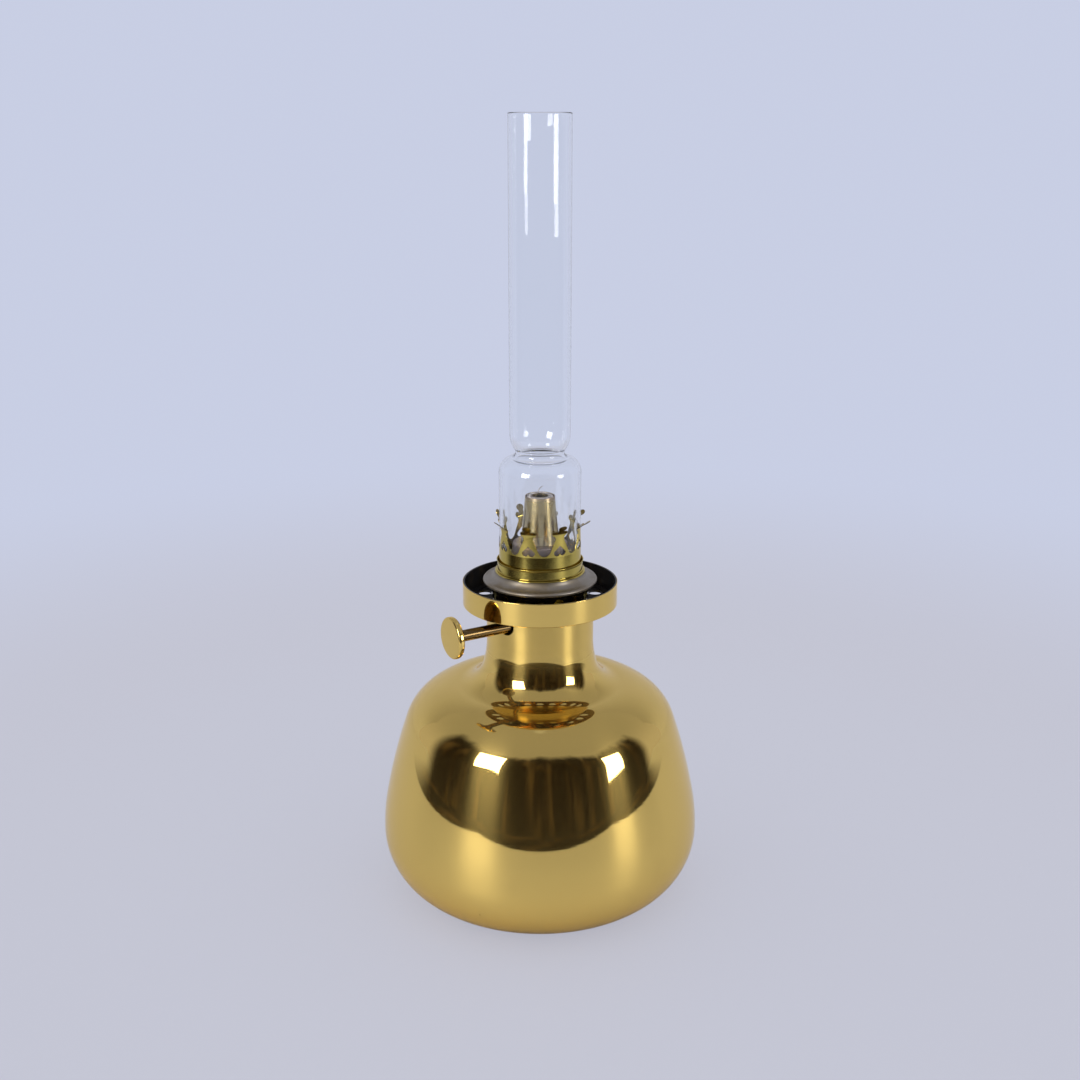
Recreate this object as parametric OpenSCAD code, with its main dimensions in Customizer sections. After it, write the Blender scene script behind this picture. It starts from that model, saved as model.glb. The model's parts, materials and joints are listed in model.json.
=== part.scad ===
/* [Body] */
// Radius of the body at its widest
body_r = 69.1; // [62:0.1:76]
// Height of the widest point above the table
belly_z = 27; // [24:0.5:30]
// Radius of the foot where it meets the table
base_r = 51; // [46:0.5:56]
// Sheet thickness of the spun body
wall = 1.2; // [0.9:0.1:1.5]
// Width of the lip that is rolled in under the base plate
foot_lip_w = 3.5; // [2.5:0.1:5]
// Thickness of the base plate
base_plate_t = 1; // [0.8:0.1:1.5]
// Rise of the dished middle of the base plate
base_dish_h = 1.2; // [0.8:0.1:1.5]
// Width of the base plate's flat rim
base_rim_w = 9; // [6:0.5:12]
// Arc radius of the belly above the widest point
belly_arc_r = 82; // [70:1:95]
// Arc radius of the tall side
side_arc_r = 244; // [200:2:290]
// Arc radius of the shoulder
shoulder_arc_r = 22; // [19:0.5:25]
// Arc radius of the crest between shoulder and neck
crest_arc_r = 31; // [27:1:35]
// Lean of the wall at the top of the belly arc, in degrees
belly_lean = 10.4; // [9:0.2:12]
// Lean of the wall at the top of the side, in degrees
side_lean = 19; // [17:0.5:21]
// Lean of the wall at the top of the shoulder, in degrees
shoulder_lean = 58; // [54:1:62]
// Lean of the wall where the neck fillet starts, in degrees
crest_lean = 85; // [82:0.5:87]
// Arc radius of the flare at the foot of the neck
neck_flare_r = 42; // [36:1:50]
// Lean of the wall where the neck flare starts, in degrees
neck_flare_lean = 16; // [12:1:20]
// Outside radius of the neck
neck_r = 22.9; // [21.5:0.1:25]
// Length of the straight neck
neck_l = 15.5; // [14:0.1:18]

/* [Shade ring] */
// Height of the shade ring
ring_h = 10.1; // [8:0.1:12]
// Sheet thickness of the shade ring
ring_sheet = 0.9; // [0.7:0.05:1.1]
// Number of air holes in the ring floor
ring_holes = 16; // [12:1:18]
// Diameter of an air hole in the ring floor
ring_hole_d = 5.8; // [5:0.1:6.5]
// Turn of the air holes about the lamp, in degrees
ring_turn = 14.1; // [0:0.1:22.5]
// Width of the raised land that a shade stands on
shade_land_w = 2.8; // [2:0.1:4]
// Height of that land above the ring floor
shade_land_h = 0.4; // [0.2:0.05:0.6]

/* [Burner] */
// Room between the burner cup and the neck
cup_room = 2.1; // [1.8:0.05:2.4]
// Sheet thickness of the burner cup
cup_sheet = 0.6; // [0.5:0.05:0.8]
// Thickness of the cup floor
cup_floor_t = 1; // [0.8:0.1:1.3]
// Radius of the plug that goes into the tank collar
plug_r = 11.9; // [10:0.1:13]
// Length of the plug
plug_l = 11.7; // [9:0.1:13]
// Thickness of the sealing washer
gasket_t = 1; // [0.8:0.1:1.5]
// Width of the sealing washer
gasket_w = 3.7; // [3:0.1:4.5]
// Height of the tank collar's outer rim
collar_rim_h = 5; // [4:0.1:6]
// Thickness of the tank collar's plate
collar_plate_t = 2.5; // [2:0.1:3]
// Wall of the tank collar's socket
collar_socket_wall = 1.6; // [1.2:0.1:2]
// Height of the lock nut under the shade ring
nut_h = 2.1; // [1.8:0.05:2.2]
// Step from the burner cup out to the air basket
basket_step = 1.1; // [1:0.05:1.3]
// Height of the air basket
basket_h = 8.8; // [7.5:0.1:10]
// Sheet thickness of basket, skirt, jacket and air plate
burner_sheet = 0.5; // [0.4:0.05:0.6]
// Diameter of a perforation in the air basket
basket_hole_d = 4.4; // [3.5:0.1:5]
// Radius of the rolled edge of the skirt
skirt_bead_r = 0.9; // [0.75:0.05:1.1]
// Flat stretch of the skirt inside its rolled edge
skirt_flat = 1.1; // [0.6:0.1:1.6]
// Radius of the skirt's cove
skirt_cove_r = 3.1; // [2.7:0.1:3.6]
// Radius of the rounded step at the top of the skirt
skirt_step_r = 0.5; // [0.3:0.05:0.7]
// Step from the gallery seat out to the skirt
seat_step = 1.1; // [0.9:0.05:1.5]
// Height of the gallery seat
seat_h = 4.5; // [4:0.1:5]
// Sheet thickness of the gallery seat
seat_sheet = 0.35; // [0.3:0.05:0.45]
// Outward flare of the gallery seat's lip
lip_flare = 0.35; // [0.25:0.05:0.5]
// Height of the flared lip
lip_h = 0.9; // [0.7:0.05:1.2]
// Number of holes in the air plate
plate_holes = 20; // [14:1:22]
// Diameter of a hole in the air plate
plate_hole_d = 2.4; // [2:0.1:2.8]
// Outside radius of the grey jacket round the wick tube
jacket_r = 11.6; // [11:0.1:12.2]
// Height of the jacket above the gallery seat
jacket_rise = 7.6; // [6:0.1:9]

/* [Wick and winder] */
// Inside radius of the round wick
wick_in_r = 3.9; // [3.6:0.05:4.1]
// Outside radius of the round wick
wick_out_r = 5.6; // [5.4:0.05:5.8]
// Height of the wick's lower end above the table
wick_end_z = 14; // [13.5:0.5:30]
// Sheet thickness of the three wick tubes
tube_sheet = 0.4; // [0.3:0.05:0.5]
// Height of the wick tube above the gallery seat
tube_rise = 27.7; // [24:0.1:31]
// Outside radius of the wick tube at its foot
tube_foot_r = 9.2; // [8.6:0.1:9.8]
// Width of the air duct into the inner tube
duct_w = 4.4; // [4:0.1:4.8]
// Height of the air duct
duct_h = 6.4; // [5.5:0.1:7]
// Drop of the winder shaft below the top of the neck
shaft_drop = 5; // [4.8:0.05:5.4]
// Distance of the shaft from the lamp's axis
shaft_offset = 8; // [8:0.05:8.4]
// Radius of the winder shaft inside the burner
shaft_r = 1.2; // [1:0.05:1.3]
// Tip radius of the toothed wick wheels
wheel_tip_r = 3.5; // [3.2:0.05:3.5]
// Teeth on a wick wheel
wheel_teeth = 14; // [10:1:18]
// Thickness of a wick wheel
wheel_t = 1; // [0.8:0.05:1]
// Distance of each wick wheel from the middle of the shaft
wheel_x = 4; // [4:0.05:4.4]
// Radius of the rod outside the neck
rod_r = 2.4; // [2.1:0.05:2.7]
// Half width of the slot in the neck
slot_r = 3.6; // [3.2:0.1:4]
// Radius of the knob
knob_r = 8.8; // [7.5:0.1:10]
// Thickness of the knob
knob_t = 3; // [2.4:0.1:3.6]
// Distance of the knob's face from the lamp's axis
knob_reach = 48; // [42:0.5:56]

/* [Gallery and chimney] */
// Largest outside radius of the chimney's bulb
bulb_r = 17.25; // [16.5:0.05:18.5]
// Outside radius of the chimney at its foot, less than the bulb by this
bulb_swell = 0.25; // [0.1:0.05:0.4]
// Outside radius of the chimney's tube
chimney_tube_r = 12.7; // [12:0.1:14]
// Outside radius of the chimney's waist
waist_r = 10.25; // [9.5:0.05:11]
// Fillet radius at the waist
waist_fillet_r = 2; // [1.6:0.1:2.4]
// Thickness of the glass
glass_t = 1.4; // [1:0.05:1.6]
// Length of the chimney
chimney_l = 181; // [150:1:215]
// Height of the bulb's straight side
bulb_h = 37.4; // [33:0.1:44]
// Room between the chimney's foot and the crown
crown_room = 0.3; // [0.25:0.05:0.4]
// Sheet thickness of the crown
crown_sheet = 0.3; // [0.25:0.05:0.4]
// Number of prongs on the crown
prongs = 8; // [8:1:8]
// Turn of the prongs about the lamp, in degrees
crown_turn = -2.3; // [-22.5:0.1:22.5]
// Height of the plain band between the seat and the prongs
crown_band_h = 5.7; // [5:0.1:6.5]
// Height of the bend in a prong above the seat
bend_h = 15; // [14:0.1:16]
// Width of a prong at its waist
prong_waist_w = 3.9; // [3.2:0.1:4.4]
// Height of that waist above the seat
prong_waist_h = 13; // [12.4:0.1:13.4]
// Radius of the valley between two prongs
valley_r = 2.7; // [2.2:0.1:3]
// Radius of the hollow beside a prong's waist
hollow_r = 1.5; // [1.2:0.1:1.8]
// Width across the heart cut in a prong
heart_w = 5.5; // [4.6:0.1:5.8]
// Height of that heart
heart_h = 4.4; // [3.8:0.1:4.8]
// Width across the side lobes of a prong's tip
tip_w = 6.9; // [6:0.1:7.5]
// Length of a prong's tip beyond the bend
tip_l = 5.3; // [4.6:0.1:6]
// Outward bend of a prong's tip, in degrees
tip_bend = 42; // [30:1:50]
// Width of the ledge that the chimney stands on
ledge_w = 2.4; // [2:0.1:2.8]

/* [Hidden] */
$fn = 96;

// Clearances between pieces
solder_gap = 0.05;
run_gap = 0.05;
slide_gap = 0.1;
loose_gap = 0.3;
cut = 1;
arc_steps = 14;

// Body: arcs from the widest point up to the neck, each as [radius, lean at its end]
body_arcs_up = [
    [belly_arc_r, belly_lean],
    [side_arc_r, side_lean],
    [shoulder_arc_r, shoulder_lean],
    [crest_arc_r, crest_lean]
];
crest_end = last(arc_chain([body_r, belly_z], 0, body_arcs_up, 0));
neck_flare_w = neck_flare_r * (1 - cos(neck_flare_lean));
neck_fillet_w = crest_end[0] - neck_r - neck_flare_w;
neck_fillet_r = neck_fillet_w / (cos(neck_flare_lean) - cos(crest_lean));
body_arcs = concat(body_arcs_up, [
    [-neck_fillet_r, neck_flare_lean],
    [-neck_flare_r, 0]
]);
neck_start_z = last(arc_chain([body_r, belly_z], 0, body_arcs, 0))[1];
neck_top = neck_start_z + neck_l;
neck_bore_r = neck_r - wall;
foot_inset = body_r - base_r;
foot_arc_r = (belly_z * belly_z + foot_inset * foot_inset) / (2 * foot_inset);
foot_lip_r = base_r - foot_lip_w;
base_plate_r = foot_r_at(wall, wall) - solder_gap;

// Shade ring, which stands on the neck
ring_wall = ring_sheet;
ring_floor_z = neck_top + ring_sheet;
ring_hole_circle_r = neck_r + ring_hole_d / 2 + solder_gap;
hole_margin = 0.5;
land_r = ring_hole_circle_r + ring_hole_d / 2 + hole_margin;
ring_in_r = land_r + shade_land_w;
ring_r = ring_in_r + ring_wall;

// Burner cup, from the shaft down to the plug
cup_r = neck_bore_r - cup_room;
ring_bore_r = cup_r + solder_gap;
shaft_z = neck_top - shaft_drop;
wheel_room = 1.8;
cup_floor_z = shaft_z - wheel_tip_r - wheel_room;
cup_base_z = cup_floor_z - cup_floor_t;
collar_top_z = cup_base_z - gasket_t;
plug_end_z = cup_base_z - plug_l;
socket_r = plug_r + slide_gap;
basket_r = cup_r + basket_step;
basket_in_r = basket_r - burner_sheet;
basket_top_z = ring_floor_z + basket_h;

// Crown and gallery seat, sized from the chimney's foot
chimney_foot_r = bulb_r - bulb_swell;
crown_in_r = chimney_foot_r + crown_room;
crown_r = crown_in_r + crown_sheet;
seat_in_r = crown_r + slide_gap;
seat_r = seat_in_r + seat_sheet;
seat_flange_w = 1.5;
seat_flange_r = seat_in_r - seat_flange_w;
ledge_in_r = chimney_foot_r - ledge_w;
skirt_top_r = seat_r + seat_step;
skirt_bead_x = skirt_top_r + skirt_cove_r + skirt_flat;
skirt_r = skirt_bead_x + skirt_bead_r;
skirt_shelf_z = basket_top_z + 2 * skirt_bead_r;
skirt_top_z = skirt_shelf_z + skirt_cove_r + skirt_step_r;
seat_top_z = skirt_top_z + seat_h;
plate_z = skirt_top_z + seat_sheet;
plate_top_z = plate_z + burner_sheet;
ledge_t = burner_sheet;
chimney_foot_z = seat_top_z + ledge_t;
chimney_top_z = chimney_foot_z + chimney_l;

// Wick tubes
wick_gap = 0.2;
guide_rise = 4;
guide_in_r = wick_out_r + wick_gap;
guide_r = guide_in_r + tube_sheet;
guide_top_z = plate_top_z + guide_rise;
draught_r = wick_in_r - wick_gap * 0.75;
tube_top_z = seat_top_z + tube_rise;
tube_top_r = wick_out_r + loose_gap + tube_sheet;
duct_mid_z = ring_floor_z + basket_h / 2;
duct_stub = 1;
duct_reach = guide_r + duct_stub;
draught_drop = 2;
draught_foot_z = duct_mid_z - duct_h / 2 - draught_drop;
wick_slack = 14;
slit_top_z = duct_mid_z + duct_h / 2 + wick_slack;
slit_w = duct_w + 2 * loose_gap;
jacket_top_z = seat_top_z + jacket_rise;

// Winder, along -X at the side of the wick
bush_wall = 1.4;
bush_stand = 0.7;
bush_r = shaft_r + bush_wall;
bush_out_x = sqrt(cup_r * cup_r - shaft_offset * shaft_offset) + bush_stand;
bush_l = 3.6;
rod_room = 0.4;
rod_end_x = bush_out_x + rod_room;
tooth_h = 0.9;
clip_t = 0.8;
clip_w = 1.3;
knob_round = knob_t / 3;
hub_wall = 0.8;
hub_r = rod_r + hub_wall;
hub_l = 2;
socket_depth = 12;

// Unit vector at an angle
function heading(a) = [cos(a), sin(a)];
function last(list) = list[len(list) - 1];
function reversed(list) = [for (i = [len(list) - 1:-1:0]) list[i]];

// Points of a round arc about a centre
function arc(centre, r, a0, a1, steps = arc_steps) =
    [for (i = [0:steps]) centre + r * heading(a0 + (a1 - a0) * i / steps)];

// Centres of a row of arcs that run smoothly into each other
function arc_centres(centre, arcs, i = 0) =
    i == len(arcs) - 1
    ? [centre]
    : concat([centre], arc_centres(
        centre + (arcs[i][0] - arcs[i + 1][0]) * heading(arcs[i][1]), arcs, i + 1));

// Outline of such a row, moved inward by the sheet thickness
function arc_chain(start, lean, arcs, inset) =
    let (centres = arc_centres(start - arcs[0][0] * heading(lean), arcs))
    [for (k = [0:len(arcs) - 1])
        let (a0 = k == 0 ? lean : arcs[k - 1][1])
        each arc(centres[k], arcs[k][0] - inset, a0, arcs[k][1])];

// Radius of the foot arc at a height, moved inward by the sheet thickness
function foot_r_at(z, inset) =
    body_r - foot_arc_r + sqrt(pow(foot_arc_r - inset, 2) - pow(belly_z - z, 2));

// Outline of the body from the foot to its widest point
function pan_outline(inset) =
    arc(
        [body_r - foot_arc_r, belly_z],
        foot_arc_r - inset,
        -asin((belly_z - inset) / (foot_arc_r - inset)),
        0);

// Outline of the body from its widest point to the top of the neck
function shell_outline(inset) =
    concat(
        arc_chain([body_r, belly_z], 0, body_arcs, inset),
        [[neck_r - inset, neck_top]]);

// Outline of the gap between two prongs, from the bottom of its valley up past the bend
function prong_gap(half_w, waist_h, top_h) =
    let (
        across = half_w - hollow_r,
        up = waist_h - valley_r,
        lean = atan2(up, across) - acos((valley_r - hollow_r) / norm([across, up])),
        hollow_end = 75,
        side = concat(
            arc([0, valley_r], valley_r, -90, lean, 8),
            arc([across, waist_h], hollow_r, lean, hollow_end, 8),
            [[across + hollow_r * cos(hollow_end), top_h]]))
    concat(side, [for (i = [len(side) - 1:-1:1]) [-side[i][0], side[i][1]]]);

// Round tube standing on a height
module tube(r_out, r_in, z0, z1) {
    translate([0, 0, z0])
        difference() {
            cylinder(r = r_out, h = z1 - z0);
            translate([0, 0, -cut])
                cylinder(r = r_in, h = z1 - z0 + 2 * cut);
        }
}

// Bar along X on the winder's axis
module winder_bar(r, x0, x1) {
    translate([x0, -shaft_offset, shaft_z])
        rotate([0, 90, 0])
            cylinder(r = r, h = x1 - x0);
}

// Row of round drillings through a wall, pointing away from the lamp's axis
module wall_drills(count, d, z, r0, r1, turn) {
    for (i = [0:count - 1])
        rotate([0, 0, turn + 360 * i / count])
            translate([r0, 0, z])
                rotate([0, 90, 0])
                    cylinder(d = d, h = r1 - r0, $fn = 48);
}

// Ring of upright drillings
module floor_drills(count, d, circle_r, z0, z1, turn) {
    for (i = [0:count - 1])
        rotate([0, 0, turn + 360 * i / count])
            translate([circle_r, 0, z0])
                cylinder(d = d, h = z1 - z0, $fn = 48);
}

// Upper part of the spun brass body with its neck, which is also the fuel tank
module body_shell() {
    color("#c9a544")
        difference() {
            rotate_extrude()
                polygon(concat(shell_outline(0), reversed(shell_outline(wall))));
            winder_bar(slot_r, -neck_r - cut, -neck_bore_r / 2);
            translate([-neck_r - cut, -shaft_offset - slot_r, shaft_z])
                cube([neck_r + cut - neck_bore_r / 2, 2 * slot_r, shaft_drop + cut]);
        }
}

// Lower part of the body, brazed to the upper one, with its foot rolled in
module body_pan() {
    color("#c9a544")
        rotate_extrude()
            polygon(concat(
                pan_outline(0),
                reversed(pan_outline(wall)),
                [[foot_lip_r, wall], [foot_lip_r, 0]]));
}

// Disc that closes the body from below, held by the rolled lip
module base_plate() {
    dish_r = base_plate_r - base_rim_w;
    color("#b8963f")
        translate([0, 0, wall])
            rotate_extrude()
                polygon([
                    [0, base_dish_h],
                    [dish_r - base_dish_h, base_dish_h],
                    [dish_r, 0],
                    [base_plate_r, 0],
                    [base_plate_r, base_plate_t],
                    [dish_r, base_plate_t],
                    [dish_r - base_dish_h, base_plate_t + base_dish_h],
                    [0, base_plate_t + base_dish_h]
                ]);
}

// Turned collar soldered into the neck, with the socket for the burner
module tank_collar() {
    rim_r = neck_bore_r - solder_gap;
    socket_out_r = socket_r + collar_socket_wall;
    color("#a98a3c")
        rotate_extrude()
            polygon([
                [socket_r, plug_end_z],
                [socket_out_r, plug_end_z],
                [socket_out_r, collar_top_z - collar_plate_t],
                [rim_r - collar_socket_wall, collar_top_z - collar_plate_t],
                [rim_r - collar_socket_wall, collar_top_z - collar_rim_h],
                [rim_r, collar_top_z - collar_rim_h],
                [rim_r, collar_top_z],
                [socket_r, collar_top_z]
            ]);
}

// Sealing washer between the burner and the collar
module collar_gasket() {
    color("#2b2a28")
        tube(plug_r + slide_gap + gasket_w, plug_r + slide_gap, collar_top_z, cup_base_z);
}

// Ring that carries a shade, with air holes in its floor
module shade_ring() {
    corner_r = ring_sheet / 2;
    color("#b08f45")
        difference() {
            rotate_extrude()
                polygon(concat(
                    [[ring_bore_r, neck_top]],
                    arc([ring_r - corner_r, neck_top + corner_r], corner_r, -90, 0, 6),
                    [
                        [ring_r, neck_top + ring_h],
                        [ring_in_r, neck_top + ring_h],
                        [ring_in_r, ring_floor_z + shade_land_h],
                        [land_r, ring_floor_z + shade_land_h],
                        [land_r, ring_floor_z],
                        [ring_bore_r, ring_floor_z]
                    ]));
            floor_drills(
                ring_holes, ring_hole_d, ring_hole_circle_r,
                neck_top - cut, ring_floor_z + cut, ring_turn);
        }
}

// Nut that clamps the ring and basket to the burner cup, and centres them in the neck
module ring_lock_nut() {
    color("#a98a3c")
        tube(neck_bore_r - loose_gap, cup_r + solder_gap, neck_top - nut_h, neck_top);
}

// Cup that holds the winder, with its plug and the lip that clamps the basket
module burner_cup() {
    lip_z = ring_floor_z + burner_sheet;
    color("#a08a4c")
        difference() {
            rotate_extrude()
                polygon([
                    [guide_r + solder_gap, plug_end_z],
                    [plug_r, plug_end_z],
                    [plug_r, cup_base_z],
                    [cup_r, cup_base_z],
                    [cup_r, lip_z],
                    [basket_in_r - slide_gap, lip_z],
                    [basket_in_r - slide_gap, lip_z + burner_sheet],
                    [cup_r - cup_sheet, lip_z + burner_sheet],
                    [cup_r - cup_sheet, cup_floor_z],
                    [guide_r + solder_gap, cup_floor_z]
                ]);
            winder_bar(bush_r + solder_gap, -cup_r - cut, -cup_r / 2);
            winder_bar(bush_r + solder_gap, cup_r / 2, cup_r + cut);
        }
}

// Perforated basket that lets air into the burner
module air_basket() {
    color("#2a2620")
        difference() {
            rotate_extrude()
                polygon([
                    [ring_bore_r, ring_floor_z],
                    [basket_r, ring_floor_z],
                    [basket_r, basket_top_z],
                    [basket_in_r, basket_top_z],
                    [basket_in_r, ring_floor_z + burner_sheet],
                    [ring_bore_r, ring_floor_z + burner_sheet]
                ]);
            wall_drills(
                ring_holes, basket_hole_d, ring_floor_z + basket_h / 2,
                basket_in_r - cut, basket_r + cut, ring_turn);
        }
}

// Coved grey skirt with a rolled edge and a rounded step at its top
module burner_skirt() {
    step = [skirt_top_r - skirt_step_r, skirt_top_z - skirt_step_r];
    cove = [skirt_top_r + skirt_cove_r, skirt_top_z - skirt_step_r];
    bead = [skirt_bead_x, basket_top_z + skirt_bead_r];
    inner_cove_r = skirt_cove_r + burner_sheet;
    color("#6d665a")
        rotate_extrude()
            polygon(concat(
                [[seat_flange_r, skirt_top_z]],
                arc(step, skirt_step_r, 90, 0, 6),
                arc(cove, skirt_cove_r, 180, 270),
                arc(bead, skirt_bead_r, 90, -90, 12),
                [
                    [basket_in_r, basket_top_z],
                    [basket_in_r, basket_top_z + burner_sheet]
                ],
                arc(bead, skirt_bead_r - burner_sheet, -90, 90, 12),
                reversed(arc(cove, inner_cove_r, 180, 270)),
                [[seat_flange_r, skirt_top_z - skirt_step_r]]));
}

// Brass band that the crown plugs into, with a flared lip
module gallery_seat() {
    lip_z = seat_top_z - lip_h;
    lip = [seat_r + lip_flare - seat_sheet / 2, seat_top_z - seat_sheet / 2];
    color("#9a8240")
        rotate_extrude()
            polygon(concat(
                [
                    [seat_flange_r, skirt_top_z],
                    [seat_r, skirt_top_z],
                    [seat_r, lip_z]
                ],
                arc(lip, seat_sheet / 2, -45, 135, 8),
                [
                    [seat_in_r, lip_z],
                    [seat_in_r, plate_z],
                    [seat_flange_r, plate_z]
                ]));
}

// Perforated plate that spreads the air and carries the wick tube
module air_plate() {
    plate_r = seat_in_r - solder_gap;
    color("#6f6656")
        difference() {
            tube(plate_r, guide_r + solder_gap, plate_z, plate_top_z);
            floor_drills(
                plate_holes, plate_hole_d, (plate_r + jacket_r) / 2,
                plate_z - cut, plate_top_z + cut, 0);
        }
}

// Grey jacket round the foot of the wick tube
module tube_jacket() {
    jacket_in_r = jacket_r - burner_sheet;
    lid_r = tube_r_at(jacket_top_z - burner_sheet) + loose_gap / 2;
    color("#77705f")
        rotate_extrude()
            polygon(concat(
                [
                    [jacket_in_r, plate_top_z],
                    [jacket_r, plate_top_z]
                ],
                arc([jacket_r - burner_sheet, jacket_top_z - burner_sheet], burner_sheet, 0, 90, 6),
                [
                    [lid_r, jacket_top_z],
                    [lid_r, jacket_top_z - burner_sheet],
                    [jacket_in_r, jacket_top_z - burner_sheet]
                ]));
}

// Outside radius of the conical wick tube at a height
function tube_r_at(z) =
    tube_top_r + (tube_foot_r - tube_top_r) * (tube_top_z - z) / (tube_top_z - plate_top_z);

// Straight tube that leads the wick past the wheels
module wick_guide() {
    color("#8d7a48")
        difference() {
            tube(guide_r, guide_in_r, plug_end_z, guide_top_z);
            for (side = [-1, 1])
                winder_bar(
                    wheel_tip_r + loose_gap,
                    side * wheel_x - wheel_t / 2 - loose_gap,
                    side * wheel_x + wheel_t / 2 + loose_gap);
            translate([-duct_w / 2 - solder_gap, 0, duct_mid_z - duct_h / 2 - solder_gap])
                cube([duct_w + 2 * solder_gap, guide_r + cut, duct_h + 2 * solder_gap]);
        }
}

// Conical outer tube that shows above the crown
module wick_tube() {
    color("#73674a")
        rotate_extrude()
            polygon([
                [tube_foot_r - tube_sheet, plate_top_z],
                [tube_foot_r, plate_top_z],
                [tube_top_r, tube_top_z],
                [tube_top_r - tube_sheet, tube_top_z]
            ]);
}

// Inner tube that feeds air to the middle of the flame, with its side duct
module draught_tube() {
    inner_r = draught_r - tube_sheet;
    duct_z = duct_mid_z - duct_h / 2;
    color("#8d7a48")
        difference() {
            union() {
                translate([0, 0, draught_foot_z])
                    cylinder(r = draught_r, h = tube_top_z - draught_foot_z);
                translate([-duct_w / 2, 0, duct_z])
                    cube([duct_w, duct_reach, duct_h]);
            }
            translate([0, 0, draught_foot_z + tube_sheet])
                cylinder(r = inner_r, h = tube_top_z - draught_foot_z);
            translate([tube_sheet - duct_w / 2, 0, duct_z + tube_sheet])
                cube([duct_w - 2 * tube_sheet, duct_reach + cut, duct_h - 2 * tube_sheet]);
        }
}

// Round wick, slit below so that it passes the air duct
module wick() {
    color("#d8cfc4")
        difference() {
            tube(wick_out_r, wick_in_r, wick_end_z, tube_top_z);
            translate([-slit_w / 2, 0, wick_end_z - cut])
                cube([slit_w, wick_out_r + cut, slit_top_z - wick_end_z + cut]);
        }
}

// The two bearings of the winder shaft in the cup
module shaft_bushes() {
    color("#b8963f")
        for (side = [-1, 1])
            difference() {
                winder_bar(
                    bush_r,
                    side > 0 ? bush_out_x - bush_l : -bush_out_x,
                    side > 0 ? bush_out_x : bush_l - bush_out_x);
                winder_bar(shaft_r + run_gap, -bush_out_x - cut, bush_out_x + cut);
            }
}

// Thin steel shaft through the burner
module winder_shaft() {
    color("#8a8a88")
        winder_bar(shaft_r, -rod_end_x - socket_depth, bush_out_x);
}

// Two toothed wheels that grip the wick
module wick_wheels() {
    root_r = wheel_tip_r - tooth_h;
    outline = [for (i = [0:2 * wheel_teeth - 1])
        (i % 2 == 0 ? wheel_tip_r : root_r) * heading(180 * i / wheel_teeth)];
    color("#9c9a92")
        for (side = [-1, 1])
            translate([side * wheel_x - wheel_t / 2, -shaft_offset, shaft_z])
                rotate([90, 0, 90])
                    linear_extrude(height = wheel_t)
                        difference() {
                            polygon(outline);
                            circle(r = shaft_r + run_gap);
                        }
}

// Washer on the shaft that keeps it from being pulled out
module shaft_clip() {
    clip_x = -bush_out_x + bush_l + slide_gap;
    color("#8a8a88")
        difference() {
            winder_bar(shaft_r + clip_w, clip_x, clip_x + clip_t);
            winder_bar(shaft_r + run_gap, clip_x - cut, clip_x + clip_t + cut);
        }
}

// Polished rod from the neck to the knob
module knob_rod() {
    color("#b8963f")
        difference() {
            winder_bar(rod_r, -knob_reach + knob_t / 2, -rod_end_x);
            winder_bar(shaft_r + run_gap, -rod_end_x - socket_depth - run_gap, -rod_end_x + cut);
        }
}

// Plain disc knob with rounded rim and a short hub
module winder_knob() {
    face_x = -knob_reach;
    color("#b8963f")
        difference() {
            translate([face_x, -shaft_offset, shaft_z])
                rotate([0, 90, 0])
                    rotate_extrude()
                        polygon(concat(
                            [[0, 0]],
                            arc([knob_r - knob_round, knob_round], knob_round, -90, 0, 8),
                            arc([knob_r - knob_round, knob_t - knob_round], knob_round, 0, 90, 8),
                            [
                                [hub_r, knob_t],
                                [hub_r, knob_t + hub_l],
                                [0, knob_t + hub_l]
                            ]));
            winder_bar(rod_r + run_gap, face_x + knob_t / 2 - run_gap, face_x + knob_t + hub_l + cut);
        }
}

// Gap between two prongs, and the inverted heart in each prong, as cutters through the wall
module prong_cutters() {
    pitch_w = 2 * PI * crown_r / prongs;
    gap_half_w = (pitch_w - prong_waist_w) / 2;
    gap_z = seat_top_z + crown_band_h;
    gap = prong_gap(gap_half_w, prong_waist_h - crown_band_h, bend_h - crown_band_h + cut);
    lobe_r = heart_w / 4;
    flank_x = 1.95 * lobe_r;
    flank_z = lobe_r / 3;
    heart_z = gap_z + lobe_r;
    for (i = [0:prongs - 1]) {
        rotate([90, 0, crown_turn + 90 + 360 * (i + 0.5) / prongs])
            translate([0, gap_z, 0])
                linear_extrude(height = crown_r + cut)
                    polygon(gap);
        rotate([90, 0, crown_turn + 90 + 360 * i / prongs])
            translate([0, heart_z, 0])
                linear_extrude(height = crown_r + cut)
                    union() {
                        for (side = [-1, 1])
                            translate([side * lobe_r, 0])
                                circle(r = lobe_r, $fn = 32);
                        polygon([
                            [-flank_x, flank_z],
                            [0, -flank_z],
                            [flank_x, flank_z],
                            [0, heart_h - lobe_r]
                        ]);
                    }
    }
}

// Trefoil tip of one prong, bent outward
module prong_tip() {
    lobe_share = 0.19;
    top_share = 0.23;
    stem_share = 0.33;
    lobe_r = tip_w * lobe_share;
    lobe_x = tip_w / 2 - lobe_r;
    top_r = tip_w * top_share;
    stem_w = tip_w * stem_share;
    root = crown_sheet / 3;
    translate([0, -crown_in_r - crown_sheet / 2, seat_top_z + bend_h])
        rotate([90 + tip_bend, 0, 0])
            translate([0, 0, -crown_sheet / 2])
                linear_extrude(height = crown_sheet)
                    intersection() {
                        union() {
                            for (side = [-1, 1])
                                translate([side * lobe_x, lobe_r / 4])
                                    circle(r = lobe_r, $fn = 32);
                            translate([0, tip_l - top_r])
                                circle(r = top_r, $fn = 32);
                            translate([-stem_w / 2, -root])
                                square([stem_w, tip_l - top_r]);
                        }
                        translate([-tip_w, -root])
                            square([2 * tip_w, 2 * tip_l]);
                    }
}

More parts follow.
